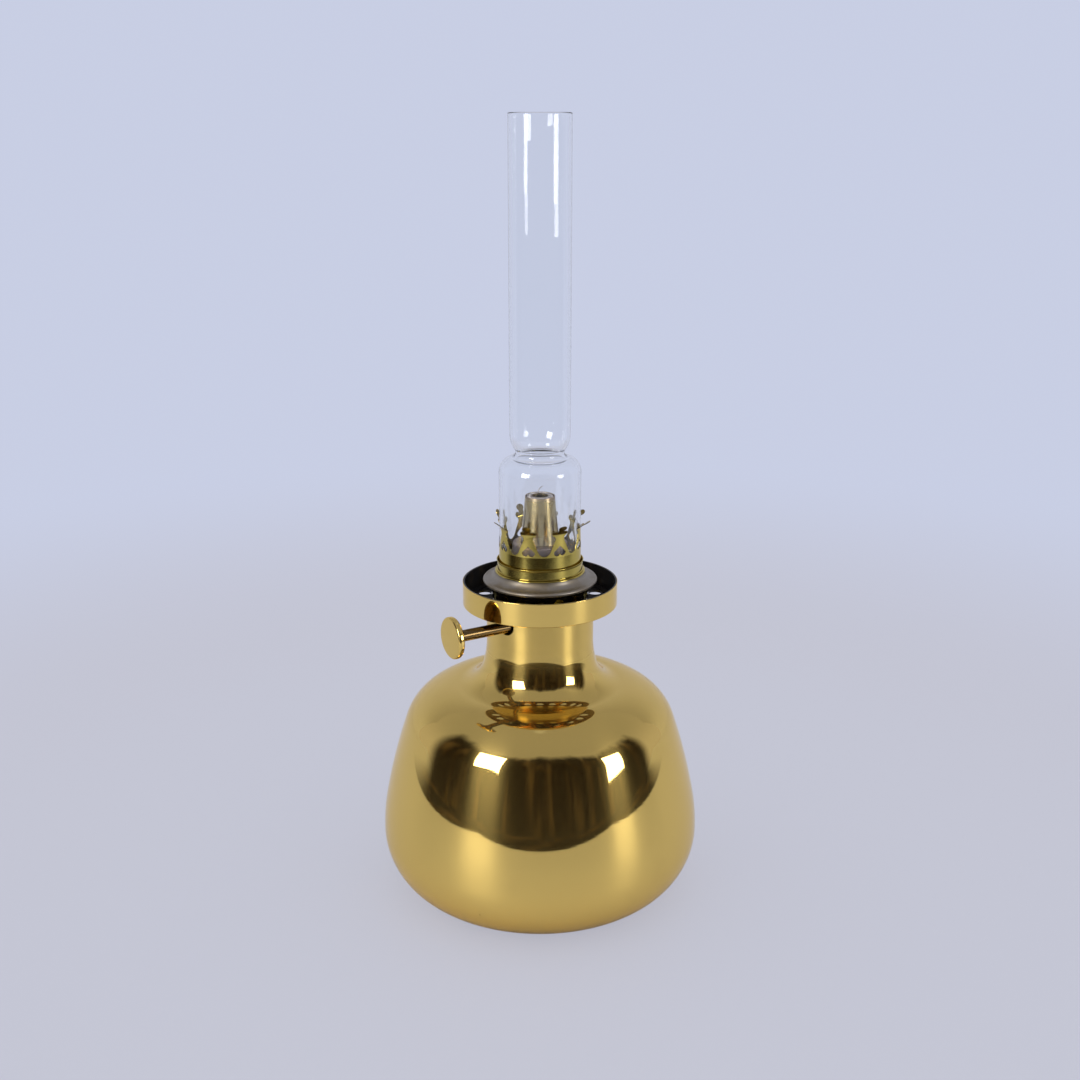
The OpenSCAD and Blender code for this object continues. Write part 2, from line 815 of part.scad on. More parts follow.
// Crown that holds the chimney on its ledge, and plugs into the seat
module gallery_crown() {
    color("#907f3e")
        union() {
            difference() {
                rotate_extrude()
                    polygon([
                        [crown_in_r, plate_top_z],
                        [crown_r, plate_top_z],
                        [crown_r, seat_top_z + bend_h],
                        [crown_in_r, seat_top_z + bend_h],
                        [crown_in_r, chimney_foot_z],
                        [ledge_in_r, chimney_foot_z],
                        [ledge_in_r, seat_top_z],
                        [crown_in_r, seat_top_z]
                    ]);
                prong_cutters();
            }
            for (i = [0:prongs - 1])
                rotate([0, 0, crown_turn + 90 + 360 * i / prongs])
                    prong_tip();
        }
}

// Clear glass chimney: a foot that swells to a bulb, a waist and a long tube
module chimney() {
    dome_lean = 80;
    flare_lean = 35;
    bulb_top_z = chimney_foot_z + bulb_h;
    dome_r = (bulb_r - waist_r) / (1 - cos(dome_lean)) - waist_fillet_r;
    flare_r = (chimney_tube_r - waist_r) / (1 - cos(flare_lean)) - waist_fillet_r;
    arcs = [
        [dome_r, dome_lean],
        [-waist_fillet_r, -flare_lean],
        [flare_r, 0]
    ];
    color("#dfe6ee", 0.35)
        rotate_extrude()
            polygon(concat(
                [
                    [chimney_foot_r, chimney_foot_z],
                    [bulb_r, chimney_foot_z + bulb_h / 2]
                ],
                arc_chain([bulb_r, bulb_top_z], 0, arcs, 0),
                [
                    [chimney_tube_r, chimney_top_z],
                    [chimney_tube_r - glass_t, chimney_top_z]
                ],
                reversed(arc_chain([bulb_r, bulb_top_z], 0, arcs, glass_t)),
                [
                    [bulb_r - glass_t, chimney_foot_z + bulb_h / 2],
                    [chimney_foot_r - glass_t, chimney_foot_z]
                ]));
}

body_shell();
body_pan();
base_plate();
tank_collar();
collar_gasket();
shade_ring();
ring_lock_nut();
burner_cup();
air_basket();
burner_skirt();
gallery_seat();
air_plate();
tube_jacket();
wick_guide();
wick_tube();
draught_tube();
wick();
shaft_bushes();
winder_shaft();
wick_wheels();
shaft_clip();
knob_rod();
winder_knob();
gallery_crown();
chimney();
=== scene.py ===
import json
import math

import bmesh
import bpy
from bpy.props import FloatProperty, FloatVectorProperty, IntProperty, PointerProperty
from mathutils import Matrix, Vector


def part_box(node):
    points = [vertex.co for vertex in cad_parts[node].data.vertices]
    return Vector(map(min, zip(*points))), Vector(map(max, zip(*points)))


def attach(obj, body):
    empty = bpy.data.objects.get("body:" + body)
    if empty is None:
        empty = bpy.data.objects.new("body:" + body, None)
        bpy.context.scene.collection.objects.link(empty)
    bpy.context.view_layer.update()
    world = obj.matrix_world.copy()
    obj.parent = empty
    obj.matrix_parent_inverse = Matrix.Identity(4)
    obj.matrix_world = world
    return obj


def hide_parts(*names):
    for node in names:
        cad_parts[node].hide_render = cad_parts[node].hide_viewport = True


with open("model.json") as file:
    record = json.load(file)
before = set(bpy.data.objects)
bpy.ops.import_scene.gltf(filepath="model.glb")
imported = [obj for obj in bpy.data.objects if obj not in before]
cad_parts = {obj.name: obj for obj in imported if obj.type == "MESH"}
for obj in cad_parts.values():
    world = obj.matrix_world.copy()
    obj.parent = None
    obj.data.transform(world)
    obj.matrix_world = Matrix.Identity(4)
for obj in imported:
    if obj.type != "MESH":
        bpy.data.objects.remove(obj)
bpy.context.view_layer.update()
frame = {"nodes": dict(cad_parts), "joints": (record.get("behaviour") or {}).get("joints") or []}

bl_info = {
    "name": "Kerosene lamp",
    "version": (1, 0, 0),
    "blender": (4, 5, 0),
    "location": "3D View > Sidebar > Lamp",
    "description": "Dresses a brass table lamp with a round-wick burner and a glass chimney",
    "category": "Object",
}

MM = 0.001
MICRON = 0.000001
MERGE_DISTANCE = 0.1 * MICRON
ARC_STEP_DEGREES = 2
LEAST_ARC_STEPS = 6
QUARTER_TURN = math.pi / 2
HALF_TURN = math.pi
FULL_TURN = math.tau


def top(node):
    """Highest point of a node."""
    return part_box(node)[1].z


def foot(node):
    """Lowest point of a node."""
    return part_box(node)[0].z


def reach(node):
    """Largest radius of a round node that stands on the lamp's axis."""
    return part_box(node)[1].x


def bore(node):
    """Smallest radius of a round node that stands on the lamp's axis."""
    return min(vertex.co.xy.length for vertex in frame["nodes"][node].data.vertices)


def joint(name):
    """A joint of the frame by its name."""
    return next(j for j in frame["joints"] if j["name"] == name)


NECK_TOP = top("body_shell")
SKIRT_FOOT = foot("burner_skirt")
SKIRT_TOP = top("burner_skirt")
SEAT_TOP = top("gallery_seat")
PLATE_TOP = top("air_plate")
TUBE_TOP = top("wick_tube")
WINDER_AXIS = Vector(joint("winder_turn")["pos_m"])


def length(title, what, value):
    """A size that a user can set."""
    return FloatProperty(name=title, description=what, default=value, unit="LENGTH", precision=5)


def angle(title, what, degrees):
    """An angle that a user can set."""
    return FloatProperty(name=title, description=what, default=math.radians(degrees), unit="ROTATION")


def colour(title, what, value):
    """A colour that a user can set."""
    return FloatVectorProperty(name=title, description=what, default=value, subtype="COLOR", min=0, max=1)


def amount(title, what, value):
    """A plain number that a user can set."""
    return FloatProperty(name=title, description=what, default=value)


def panel_size(title, what, value):
    """A width and a height that a user can set."""
    return FloatVectorProperty(name=title, description=what, default=value, size=2, unit="LENGTH")


class LampShape(bpy.types.PropertyGroup):
    """Sizes of the turned and stamped pieces"""

    body_wall: length("Body wall", "Sheet thickness of the spun body", 1.2 * MM)
    belly_height: length("Belly height", "Height of the widest point", 27 * MM)
    foot_radius: length("Foot radius", "Radius of the foot on the table", 51 * MM)
    foot_lip: length("Foot lip", "Width of the lip rolled in under the body", 3.5 * MM)
    neck_radius: length("Neck radius", "Outside radius of the neck", 22.9 * MM)
    belly_arc: length("Belly arc", "Arc radius above the widest point", 82 * MM)
    side_arc: length("Side arc", "Arc radius of the tall side", 244 * MM)
    shoulder_arc: length("Shoulder arc", "Arc radius of the shoulder", 22 * MM)
    crest_arc: length("Crest arc", "Arc radius between shoulder and neck fillet", 31 * MM)
    neck_flare: length("Neck flare", "Arc radius of the flare at the foot of the neck", 42 * MM)
    belly_turn: angle("Belly turn", "Turn of the belly arc", 10.4)
    side_turn: angle("Side turn", "Turn of the side arc", 8.6)
    shoulder_turn: angle("Shoulder turn", "Turn of the shoulder arc", 39)
    crest_turn: angle("Crest turn", "Turn of the crest arc", 27)
    flare_turn: angle("Flare turn", "Turn of the neck's flare", 16)
    slot_half_width: length("Slot half width", "Half width of the winder's slot in the neck", 3.6 * MM)
    ring_sheet: length("Ring sheet", "Sheet thickness of the shade ring", 0.9 * MM)
    ring_edge: length("Ring edge", "Radius of the ring's rounded rim", 0.2 * MM)
    ring_land: length("Ring land", "Width of the land that a shade stands on", 2.8 * MM)
    ring_land_rise: length("Ring land rise", "Height of that land above the ring floor", 0.4 * MM)
    ring_holes: IntProperty(name="Ring holes", description="Air holes in the ring floor", default=16)
    ring_hole_radius: length("Ring hole radius", "Radius of an air hole", 2.9 * MM)
    ring_hole_circle: length("Ring hole circle", "Radius of the circle of air holes", 25.85 * MM)
    ring_turn: angle("Ring turn", "Turn of the air holes about the lamp", 14.1)
    burner_sheet: length("Burner sheet", "Sheet thickness of skirt and jacket", 0.5 * MM)
    skirt_bead: length("Skirt bead", "Radius of the skirt's rolled edge", 0.9 * MM)
    skirt_cove: length("Skirt cove", "Radius of the skirt's cove", 3.1 * MM)
    skirt_step: length("Skirt step", "Radius of the rounded step at the skirt's top", 0.5 * MM)
    skirt_shoulder: length("Skirt shoulder", "Width of that step beyond the gallery seat", 1.1 * MM)
    skirt_bore: length("Skirt bore", "Inside radius of the skirt's floor", 20.2 * MM)
    seat_sheet: length("Seat sheet", "Sheet thickness of the gallery seat", 0.35 * MM)
    lip_flare: length("Lip flare", "Outward flare of the seat's lip", 0.35 * MM)
    lip_height: length("Lip height", "Height of the flared lip", 0.9 * MM)
    seat_bead: length("Seat bead", "Radius of the bead round the foot of the seat", 0.3 * MM)
    tube_sheet: length("Tube sheet", "Sheet thickness of the wick tube", 0.4 * MM)
    tube_top_radius: length("Tube top radius", "Outside radius of the wick tube's top", 6.3 * MM)
    crown_turn: angle("Crown turn", "Turn of the prongs about the lamp", -2.3)
    crown_radius: length("Crown radius", "Inside radius of the crown", 17.3 * MM)
    crown_sheet: length("Crown sheet", "Sheet thickness of the crown", 0.3 * MM)
    crown_band: length("Crown band", "Height of the plain band between seat and prongs", 5.7 * MM)
    valley_radius: length("Valley radius", "Radius of the valley between two prongs", 2.7 * MM)
    hollow_radius: length("Hollow radius", "Radius of the hollow beside a prong's waist", 1.5 * MM)
    hollow_turn: angle("Hollow turn", "Turn of that hollow above the waist", 75)
    waist_height: length("Waist height", "Height of a prong's waist above the seat", 13 * MM)
    prong_waist: length("Prong waist", "Half width of a prong at its waist", 1.95 * MM)
    prong_bends: FloatVectorProperty(
        name="Prong bends", description="Outward bend of each prong's tip, bent by hand", size=8,
        unit="ROTATION", default=[math.radians(bend) for bend in (53, 44, 42, 22, 51, 40, 42, 58)])
    prong_bend_height: length("Prong bend height", "Height of a prong's bend above the seat", 15 * MM)
    prong_bend_radius: length("Prong bend radius", "Radius of that bend", 1 * MM)
    heart_lobe: length("Heart lobe", "Radius of a lobe of the heart in a prong", 1.37 * MM)
    heart_height: length("Heart height", "Height of that heart", 4.4 * MM)
    heart_flank: angle("Heart flank", "Angle about a lobe's centre at which the flank meets it", 20)
    tip_half_width: length("Tip half width", "Half width across a tip's side lobes", 3.45 * MM)
    tip_length: length("Tip length", "Length of a tip beyond its bend", 5.3 * MM)
    tip_side: amount("Tip side", "Radius of a tip's side lobe as a share of its half width", 0.38)
    tip_crest: amount("Tip crest", "Radius of a tip's top lobe as a share of its half width", 0.465)
    tip_stem: amount("Tip stem", "Half width between those lobes as a share of its half width", 0.33)
    tip_start: angle("Tip start", "Angle about a side lobe's centre at which its arc starts", -40)
    ledge_width: length("Ledge width", "Width of the ledge that the chimney stands on", 2.7 * MM)
    glass_wall: length("Glass wall", "Thickness of the glass", 1.4 * MM)
    glass_foot: length("Glass foot", "Outside radius of the chimney's foot", 17 * MM)
    glass_tube: length("Glass tube", "Outside radius of the chimney's tube", 12.7 * MM)
    glass_waist: length("Glass waist", "Outside radius of the chimney's waist", 10.25 * MM)
    glass_fillet: length("Glass fillet", "Fillet radius at the waist", 2 * MM)
    glass_dome_turn: angle("Glass dome turn", "Turn of the glass above the bulb's side", 80)
    glass_flare_turn: angle("Glass flare turn", "Turn of the glass from waist to tube", 35)
    bulb_height: length("Bulb height", "Height of the bulb's side", 37.4 * MM)
    knob_round: length("Knob rounding", "Radius of the knob's rounded rim", 1 * MM)
    knob_rim_turn: angle("Knob rim turn", "Turn of that rim at the knob's face", 86)
    knob_hub: length("Knob hub", "Radius of the hub behind the knob", 3.2 * MM)
    knob_disc: length("Knob disc", "Thickness of the knob's disc", 3 * MM)
    knob_dome: length("Knob dome", "Rise of the knob's face towards its middle", 0.25 * MM)
    wick_bore: length("Wick bore", "Inside radius of the round wick", 3.9 * MM)
    wick_edge: length("Wick edge", "Radius of the wick's worn edge", 0.35 * MM)
    slit_width: length("Slit width", "Width of the wick's slit, which passes the air duct", 5 * MM)
    slit_top: length("Slit top", "Height of the top of that slit above the table", 152 * MM)
    thread_radius: length("Thread radius", "Radius of the loose thread on the wick", 0.14 * MM)
    thread_curl: length("Thread curl", "Radius of that thread's curl", 3.3 * MM)
    thread_sweep: angle("Thread sweep", "Turn of that curl", 66)
    thread_shift: length("Thread shift", "Place of that thread along its curl", -0.9 * MM)
    thread_turn: angle("Thread turn", "Direction in which that thread curls", -31)


class LampFinish(bpy.types.PropertyGroup):
    """Colours of the finishes, and where they change"""

    brass: colour("Polished brass", "Body, ring and knob", (0.82, 0.575, 0.165))
    brass_edge: colour("Brass edge", "Tint of brass seen at a flat angle", (1.0, 0.94, 0.82))
    tarnish: colour("Tarnish", "Dull patches on the brass", (0.52, 0.35, 0.11))
    old_brass: colour("Old brass", "Crown, seat and turned fittings", (0.52, 0.41, 0.10))
    brown_brass: colour("Brown brass", "Heated and dirty patches", (0.22, 0.14, 0.05))
    # Dark brass is painted shade on the tips of the prongs, the underside of the ring and the back of the
    # knob, and partly tarnish, partly painted shade on the rod
    dark_brass: colour("Dark brass", "Rod, tips of the prongs and underside of the ring", (0.17, 0.11, 0.045))
    grey: colour("Grey plating", "Skirt", (0.37, 0.33, 0.275))
    grey_brown: colour("Worn plating", "Worn patches of the plating", (0.31, 0.255, 0.185))
    jacket: colour("Jacket plating", "Jacket round the wick tube", (0.25, 0.19, 0.155))
    tube: colour("Wick tube", "Heat-dulled tube", (0.42, 0.335, 0.165))
    soot: colour("Soot", "Inside of the ring and walls of its holes", (0.013, 0.010, 0.008))
    basket: colour("Bright plating", "Air basket", (0.46, 0.42, 0.32))
    steel: colour("Steel", "Shaft, wheels and clip", (0.50, 0.50, 0.49))
    rubber: colour("Rubber", "Sealing washer", (0.025, 0.024, 0.023))
    cotton: colour("Cotton", "Clean wick", (0.46, 0.41, 0.37))
    scorch: colour("Scorch", "Burnt edge of the wick", (0.30, 0.22, 0.18))
    glass: colour("Glass", "Clear glass", (0.985, 0.992, 0.995))
    glass_smear: colour("Glass smear", "Smears on the glass", (0.95, 0.96, 0.96))
    glass_ior: amount("Glass index", "Index of refraction of the glass", 1.47)
    wick_ribs: amount("Wick ribs", "Ribs of the weave round the wick", 34)
    wick_picks: amount("Wick picks", "Waves of the weave along the wick, in radians per metre", 9000)
    neck_satin: length("Neck satin", "Depth below the neck's rim at which its brass is softest", 12 * MM)
    neck_polish: length("Neck polish", "Depth below the neck's rim at which its full polish starts", 26 * MM)
    band_lean: angle("Band lean", "Lean of the sheet of band and seat, as its mirror shows it", 2.5)
    band_height: length("Band height", "Height above the seat up to which the band leans", 5.2 * MM)
    # The tips of the prongs darken above this height as painted shade
    tip_shade_height: length("Dark tip height", "Height above the seat where the tips start to darken", 14.3 * MM)
    tip_shade_blend: length("Dark tip blend", "Height over which they darken", 1 * MM)
    scuff_turn: angle("Scuff turn", "Direction of the scuffed side of the wick tube", -148)


class LampStage(bpy.types.PropertyGroup):
    """Camera, floor and lights"""

    view_turn: angle("View turn", "Direction of the camera about the lamp", -30.9)
    view_distance: length("View distance", "Camera's distance from the lamp's axis", 0.587)
    view_height: length("View height", "Camera's height above the table", 0.3332)
    view_drop: angle("View drop", "Tilt of the camera below level", 16.7)
    lens: amount("Lens", "Focal length in millimetres on a 36 mm sensor", 48.33)
    paper: colour("Paper", "Floor and backdrop", (0.74, 0.76, 0.83))
    mottle: colour("Paper mottle", "Faint patches in the paper", (0.6, 0.6, 0.62))
    sky: colour("Soft light", "Even light from all round", (0.86, 0.87, 0.92))
    behind: colour("Behind", "Backdrop as the camera sees it", (0.58, 0.62, 0.775))
    floor: colour("Floor", "Floor as the camera sees it", (0.548, 0.556, 0.65))
    ceiling: colour("Ceiling", "What the metal mirrors from above", (0.38, 0.39, 0.45))
    paper_half: length("Paper half width", "Half width of the paper, and its run towards the camera", 2.2)
    paper_back: length("Paper back", "Depth at which the paper sweeps up", 0.9)
    paper_sweep: length("Paper sweep", "Radius of that sweep", 0.4)
    paper_rise: length("Paper rise", "Height of the paper behind the lamp", 1.6)
    shadow_share: amount("Shadow share", "Share of its shading that the floor shows by the lamp", 0.25)
    flag_front: length("Flag front", "Distance of the dark flags in front of the lamp", 0.525)
    flag_left: length("Flag left", "Distance of the dark flags to its left", 0.49)
    flag_right: length("Flag right", "Distance of the dark flags to its right", 0.64)
    flag_end: length("Flag end", "How far the dark flags reach behind the lamp", 0.25)
    flag_end_fade: length("Flag end fade", "Length over which the ends of the flags fade out", 0.3)
    flag_spread: amount("Flag spread", "Outer outline of the dark flags as a share of the inner one", 2.5)
    flag_height: length("Flag height", "Height of the dark flags", 1.6)
    flag_fade: length("Flag fade", "Height from which the dark flags fade out", 1.02)
    flag_drape: length("Flag drape", "How far the folds move that fade up or down", 0.6)
    flag_dark: colour("Flag dark", "Deep folds of the flags", (0.012, 0.008, 0.006))
    flag_light: colour("Flag light", "Lit folds of the flags", (0.11, 0.08, 0.055))
    light_aim: length("Light aim", "Height at which the soft lights point", 0.085)
    light_distance: length("Light distance", "Distance of the soft lights from that point", 1.3)
    left_turn: angle("Left light turn", "Direction of the left light, from the camera's", -43)
    left_rise: angle("Left light rise", "Rise of the left light", 23)
    left_size: panel_size("Left light size", "Width and height of the left light", (0.5, 0.62))
    left_power: amount("Left light power", "Watts of the left light", 10)
    right_turn: angle("Right light turn", "Direction of the right light, from the camera's", 61)
    right_rise: angle("Right light rise", "Rise of the right light", 14)
    right_size: panel_size("Right light size", "Width and height of the right light", (0.36, 0.46))
    right_power: amount("Right light power", "Watts of the right light", 4.4)


def arc_steps(turn):
    """Steps of an arc, about one for every two degrees."""
    return max(LEAST_ARC_STEPS, math.ceil(abs(math.degrees(turn)) / ARC_STEP_DEGREES))


def points_of(parts):
    """The points among a list of points, edges and faces."""
    return [part for part in parts if isinstance(part, bmesh.types.BMVert)]


def everything(mesh):
    """All points, edges and faces of a mesh."""
    return mesh.verts[:] + mesh.edges[:] + mesh.faces[:]


def clean(mesh):
    """Merges doubles and turns the faces outward."""
    bmesh.ops.remove_doubles(mesh, verts=mesh.verts, dist=MERGE_DISTANCE)
    bmesh.ops.recalc_face_normals(mesh, faces=mesh.faces)


class Outline:
    """A pen that draws a row of edges in the upright plane through the lamp's axis."""

    def __init__(self, across, height):
        self.mesh = bmesh.new()
        self.start = self.mesh.verts.new((across, 0, height))
        self.end = self.start
        self.heading = 0.0

    def line_to(self, across, height):
        """Draws a straight edge."""
        before = self.end.co.copy()
        self.end = bmesh.ops.extrude_vert_indiv(self.mesh, verts=[self.end])["verts"][0]
        self.end.co = (across, 0, height)
        step = self.end.co - before
        self.heading = math.atan2(step.z, step.x)
        return self

    def forward(self, run):
        """Draws a straight edge that runs on smoothly."""
        end = self.end.co
        return self.line_to(end.x + run * math.cos(self.heading), end.z + run * math.sin(self.heading))

    def bend(self, radius, turn):
        """Draws a round arc that runs on smoothly, to the left for a positive turn."""
        side = self.heading + math.copysign(QUARTER_TURN, turn)
        return self.arc_about(self.end.co + radius * Vector((math.cos(side), 0, math.sin(side))), turn)

    def arc_about(self, centre, turn):
        """Draws a round arc about a centre."""
        made = bmesh.ops.spin(
            self.mesh, geom=[self.end], cent=centre, axis=(0, -1, 0), angle=turn, steps=arc_steps(turn))
        self.end = points_of(made["geom_last"])[0]
        radial = self.end.co - Vector(centre)
        self.heading = math.atan2(radial.z, radial.x) + math.copysign(QUARTER_TURN, turn)
        return self

    def close(self):
        """Joins the end to the start."""
        self.mesh.edges.new((self.end, self.start))
        return self

    def turned(self, steps):
        """Turns the outline once round the lamp's axis, and gives the mesh."""
        bmesh.ops.spin(
            self.mesh, geom=everything(self.mesh), cent=(0, 0, 0), axis=(0, 0, 1), angle=FULL_TURN,
            steps=steps, use_merge=True)
        clean(self.mesh)
        return self.mesh


def lay_along_winder(mesh):
    """Turns a piece that was made upright so that its axis is the winder's, pointing to -X."""
    upright_to_winder = Matrix.Rotation(-QUARTER_TURN, 4, "Y")
    upright_to_winder.translation = (0, WINDER_AXIS.y, WINDER_AXIS.z)
    bmesh.ops.transform(mesh, matrix=upright_to_winder, verts=mesh.verts)


def join(mesh, other):
    """Adds another mesh to a mesh."""
    data = bpy.data.meshes.new("joined")
    other.to_mesh(data)
    other.free()
    mesh.from_mesh(data)
    bpy.data.meshes.remove(data)


def to_object(context, name, mesh, *finishes):
    """A new object that holds the mesh, with finishes given by their names."""
    data = bpy.data.meshes.new(name)
    mesh.to_mesh(data)
    mesh.free()
    for finish_name in finishes:
        data.materials.append(finish(context, finish_name))
    made = bpy.data.objects.new(name, data)
    context.scene.collection.objects.link(made)
    return made


def cut_away(context, piece, cutter_mesh, *finishes):
    """Takes the cutter's volume out of a piece, and gives the cut the cutter's finish."""
    cutter = to_object(context, "cutter", cutter_mesh, *finishes)
    modifier = piece.modifiers.new("cut", "BOOLEAN")
    modifier.operation = "DIFFERENCE"
    modifier.solver = "MANIFOLD"
    modifier.object = cutter
    whole = piece.data
    piece.data = bpy.data.meshes.new_from_object(piece.evaluated_get(context.evaluated_depsgraph_get()))
    piece.data.name = piece.name
    piece.modifiers.clear()
    bpy.data.objects.remove(cutter)
    bpy.data.meshes.remove(whole)


def dress(piece, body, slot, *nodes, crease=35):
    """Smooths a piece and sets it in the frame in place of its nodes."""
    piece.data.shade_smooth()
    piece.data.set_sharp_from_angle(angle=math.radians(crease))
    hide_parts(*nodes)
    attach(piece, body)


class Value:
    """One output of a node tree, on which sums are written as in Python."""

    def __init__(self, tree, socket=None):
        self.tree = tree
        self.socket = socket

    def node(self, kind, settings=None, sockets=None, output=0):
        """Adds a node, sets it up, fills or links its sockets and gives one of its outputs."""
        made = self.tree.nodes.new(kind)
        for name, value in (settings or {}).items():
            setattr(made, name, value)
        for name, value in (sockets or {}).items():
            if isinstance(value, Value):
                self.tree.links.new(value.socket, made.inputs[name])
            else:
                made.inputs[name].default_value = value
        return Value(self.tree, made.outputs[output] if len(made.outputs) else None)

    def maths(self, operation, *numbers):
        """Adds a Math node."""
        return self.node("ShaderNodeMath", {"operation": operation}, dict(enumerate(numbers)))

    def __add__(self, other):
        return self.maths("ADD", self, other)

    def __sub__(self, other):
        return self.maths("SUBTRACT", self, other)

    def __rsub__(self, other):
        return self.maths("SUBTRACT", other, self)

    def __mul__(self, other):
        return self.maths("MULTIPLY", self, other)

    def __truediv__(self, other):
        return self.maths("DIVIDE", self, other)

    def __pow__(self, power):
        return self.maths("POWER", self, power)

    __radd__ = __add__
    __rmul__ = __mul__


def rgba(value):
    """A colour with its alpha."""
    return (*value, 1.0)


def noise(at, scale, detail, roughness=0.55):
    """Cloudy value from 0 to 1, in patches of about one over the scale."""
    return at.node(
        "ShaderNodeTexNoise", None,
        {"Vector": at, "Scale": scale, "Detail": detail, "Roughness": roughness})


def between(value, low, high):
    """0 below a low mark, 1 above a high one, and smooth between."""
    return value.node(
        "ShaderNodeMapRange", {"interpolation_type": "SMOOTHSTEP"},
        {"Value": value, "From Min": low, "From Max": high})


def mix(share, first, second):
    """Blend of two colours, each given as a colour or as another blend."""
    first, second = (tone if isinstance(tone, Value) else rgba(tone) for tone in (first, second))
    return share.node("ShaderNodeMix", {"data_type": "RGBA"}, {0: share, 6: first, 7: second}, output=2)


def blend(share, first, second):
    """Blend of two surfaces."""
    return first.node("ShaderNodeMixShader", None, {0: share, 1: first, 2: second})


def glow(shade):
    """A surface that shows its colour as it is, whatever the light."""
    return shade.node("ShaderNodeEmission", None, {"Color": shade, "Strength": 1.0})


def stretched(at, scale):
    """Coordinates stretched along the axes."""
    return at.node("ShaderNodeMapping", None, {"Vector": at, "Scale": scale})


def bump(height, distance, strength=1.0):
    """A normal that follows small heights."""
    return height.node("ShaderNodeBump", None, {"Height": height, "Distance": distance, "Strength": strength})


def split(at):
    """The three parts of a vector."""
    first = at.node("ShaderNodeSeparateXYZ", None, {0: at})
    return [Value(at.tree, socket) for socket in first.socket.node.outputs]


def from_axis(at):
    """Distance from the lamp's axis."""
    x, y = split(at)[:2]
    return (x * x + y * y) ** 0.5


def specks(at, scale, size, share, core=0.6, edge=0.01):
    """Sparse dots with a full core, a share of those that would fit: 1 on a dot, 0 elsewhere."""
    cells = {"Vector": at, "Scale": scale}
    distance = at.node("ShaderNodeTexVoronoi", None, cells)
    pick = at.node("ShaderNodeTexVoronoi", None, cells, output="Color")
    chosen = between(split(pick)[0], 1 - share - edge, 1 - share)
    return (1 - between(distance, size * core, size)) * chosen


def spun_lines(at, scale, detail):
    """Fine lines round a spun piece, which follow its outline and are the same all round."""
    along = split(at)[2] - from_axis(at)
    return noise(at.node("ShaderNodeCombineXYZ", None, {2: along}), scale, detail)


def surface(base, roughness, normal, **others):
    """A surface, whose other sockets are named with an underscore for each space."""
    sockets = {"Base Color": base, "Roughness": roughness, "Normal": normal}
    sockets.update({name.replace("_", " "): value for name, value in others.items()})
    return normal.node("ShaderNodeBsdfPrincipled", None, sockets)


def metal(base, roughness, normal, **others):
    """A metal surface."""
    return surface(base, roughness, normal, Metallic=1.0, **others)


def lined_metal(base, roughness, normal, strength, **others):
    """A metal surface with fine lines all round, which draw its highlights out."""
    return metal(base, roughness, normal, Anisotropic=strength, Anisotropic_Rotation=0.25, **others)


def new_material(name, make, settings):
    """A new material, whose surface a function makes from the settings."""
    material = bpy.data.materials.new(name)
    material.use_nodes = True
    material.node_tree.nodes.clear()
    tree = Value(material.node_tree)
    at = tree.node("ShaderNodeTexCoord", output="Object")
    tree.node("ShaderNodeOutputMaterial", None, {"Surface": make(at, settings)})
    return material


FINISHES = {}


def listed(make):
    """Lists the function that makes a finish under that function's name."""
    FINISHES[make.__name__] = make
    return make


def finish(context, name):
    """A finish by its name, made on its first use."""
    return bpy.data.materials.get(name) or new_material(name, FINISHES[name], context.scene.lamp_finish)


def spun_brass(at, look, satin, stain):
    """Spun and polished brass with faint lines, smears and specks, with a share of satin sheen."""
    smear = noise(at, scale=34, detail=4)
    cloud = noise(at, scale=11, detail=2)
    lines = spun_lines(at, scale=900, detail=3)
    dots = specks(at, scale=95, size=0.055, share=0.16)
    dull = between(smear * 0.6 + cloud * 0.4, 0.55, 0.78)
    base = mix(dull * stain + dots * 0.75, look.brass, look.tarnish)
    normal = bump(lines + smear * 0.6, 3.5 * MICRON)
    edge = rgba(look.brass_edge)
    mirror = metal(base, 0.035 + dull * 0.05 + dots * 0.3, normal, Specular_Tint=edge)
    sheen = lined_metal(base, 0.30 + dull * 0.08, normal, strength=0.9, Specular_Tint=edge)
    return blend(satin, mirror, sheen)


@listed
def mirror_brass(at, look):
    """The knob's brass, polished by hand."""
    return spun_brass(at, look, satin=0.2, stain=0.22)


@listed
def body_brass(at, look):
    """The body's brass, softer on the neck where the wheel couldn't reach."""
    neck = between(split(at)[2], NECK_TOP - look.neck_polish, NECK_TOP - look.neck_satin)
    return spun_brass(at, look, satin=0.12 + neck * 0.42, stain=0.22)


@listed
def ring_brass(at, look):
    """The ring's brass, stained by handling."""
    return spun_brass(at, look, satin=0.08, stain=0.55)


@listed
def old_brass(at, look):
    """Aged brass, brown where dirt stays, with the tips of the prongs darkened as painted shade."""
    height = split(at)[2]
    patch = noise(at, scale=120, detail=4)
    grain = noise(at, scale=900, detail=3)
    # Painted shade: the tips of the prongs are darkened above this height
    tip = between(height, SEAT_TOP + look.tip_shade_height, SEAT_TOP + look.tip_shade_height + look.tip_shade_blend)
    dirt = between(patch * 0.75 + grain * 0.25, 0.5, 0.8)
    dots = specks(at, scale=420, size=0.12, share=0.12)
    base = mix(dirt * 0.45 + dots * 0.5, look.old_brass, look.brown_brass)
    # The tips take the dark brass colour as painted shade
    base = mix(tip * 0.75, base, look.dark_brass)
    rough = (grain + patch * 0.5) * (6 * MICRON)
    band = height.maths("MINIMUM", height, SEAT_TOP + look.band_height)
    normal = bump(rough - band * math.tan(look.band_lean), 1.0)
    roughness = 0.13 + dirt * 0.12 + dots * 0.2
    return lined_metal(base, roughness, normal, strength=0.4, Specular_Tint=rgba(look.brass_edge))


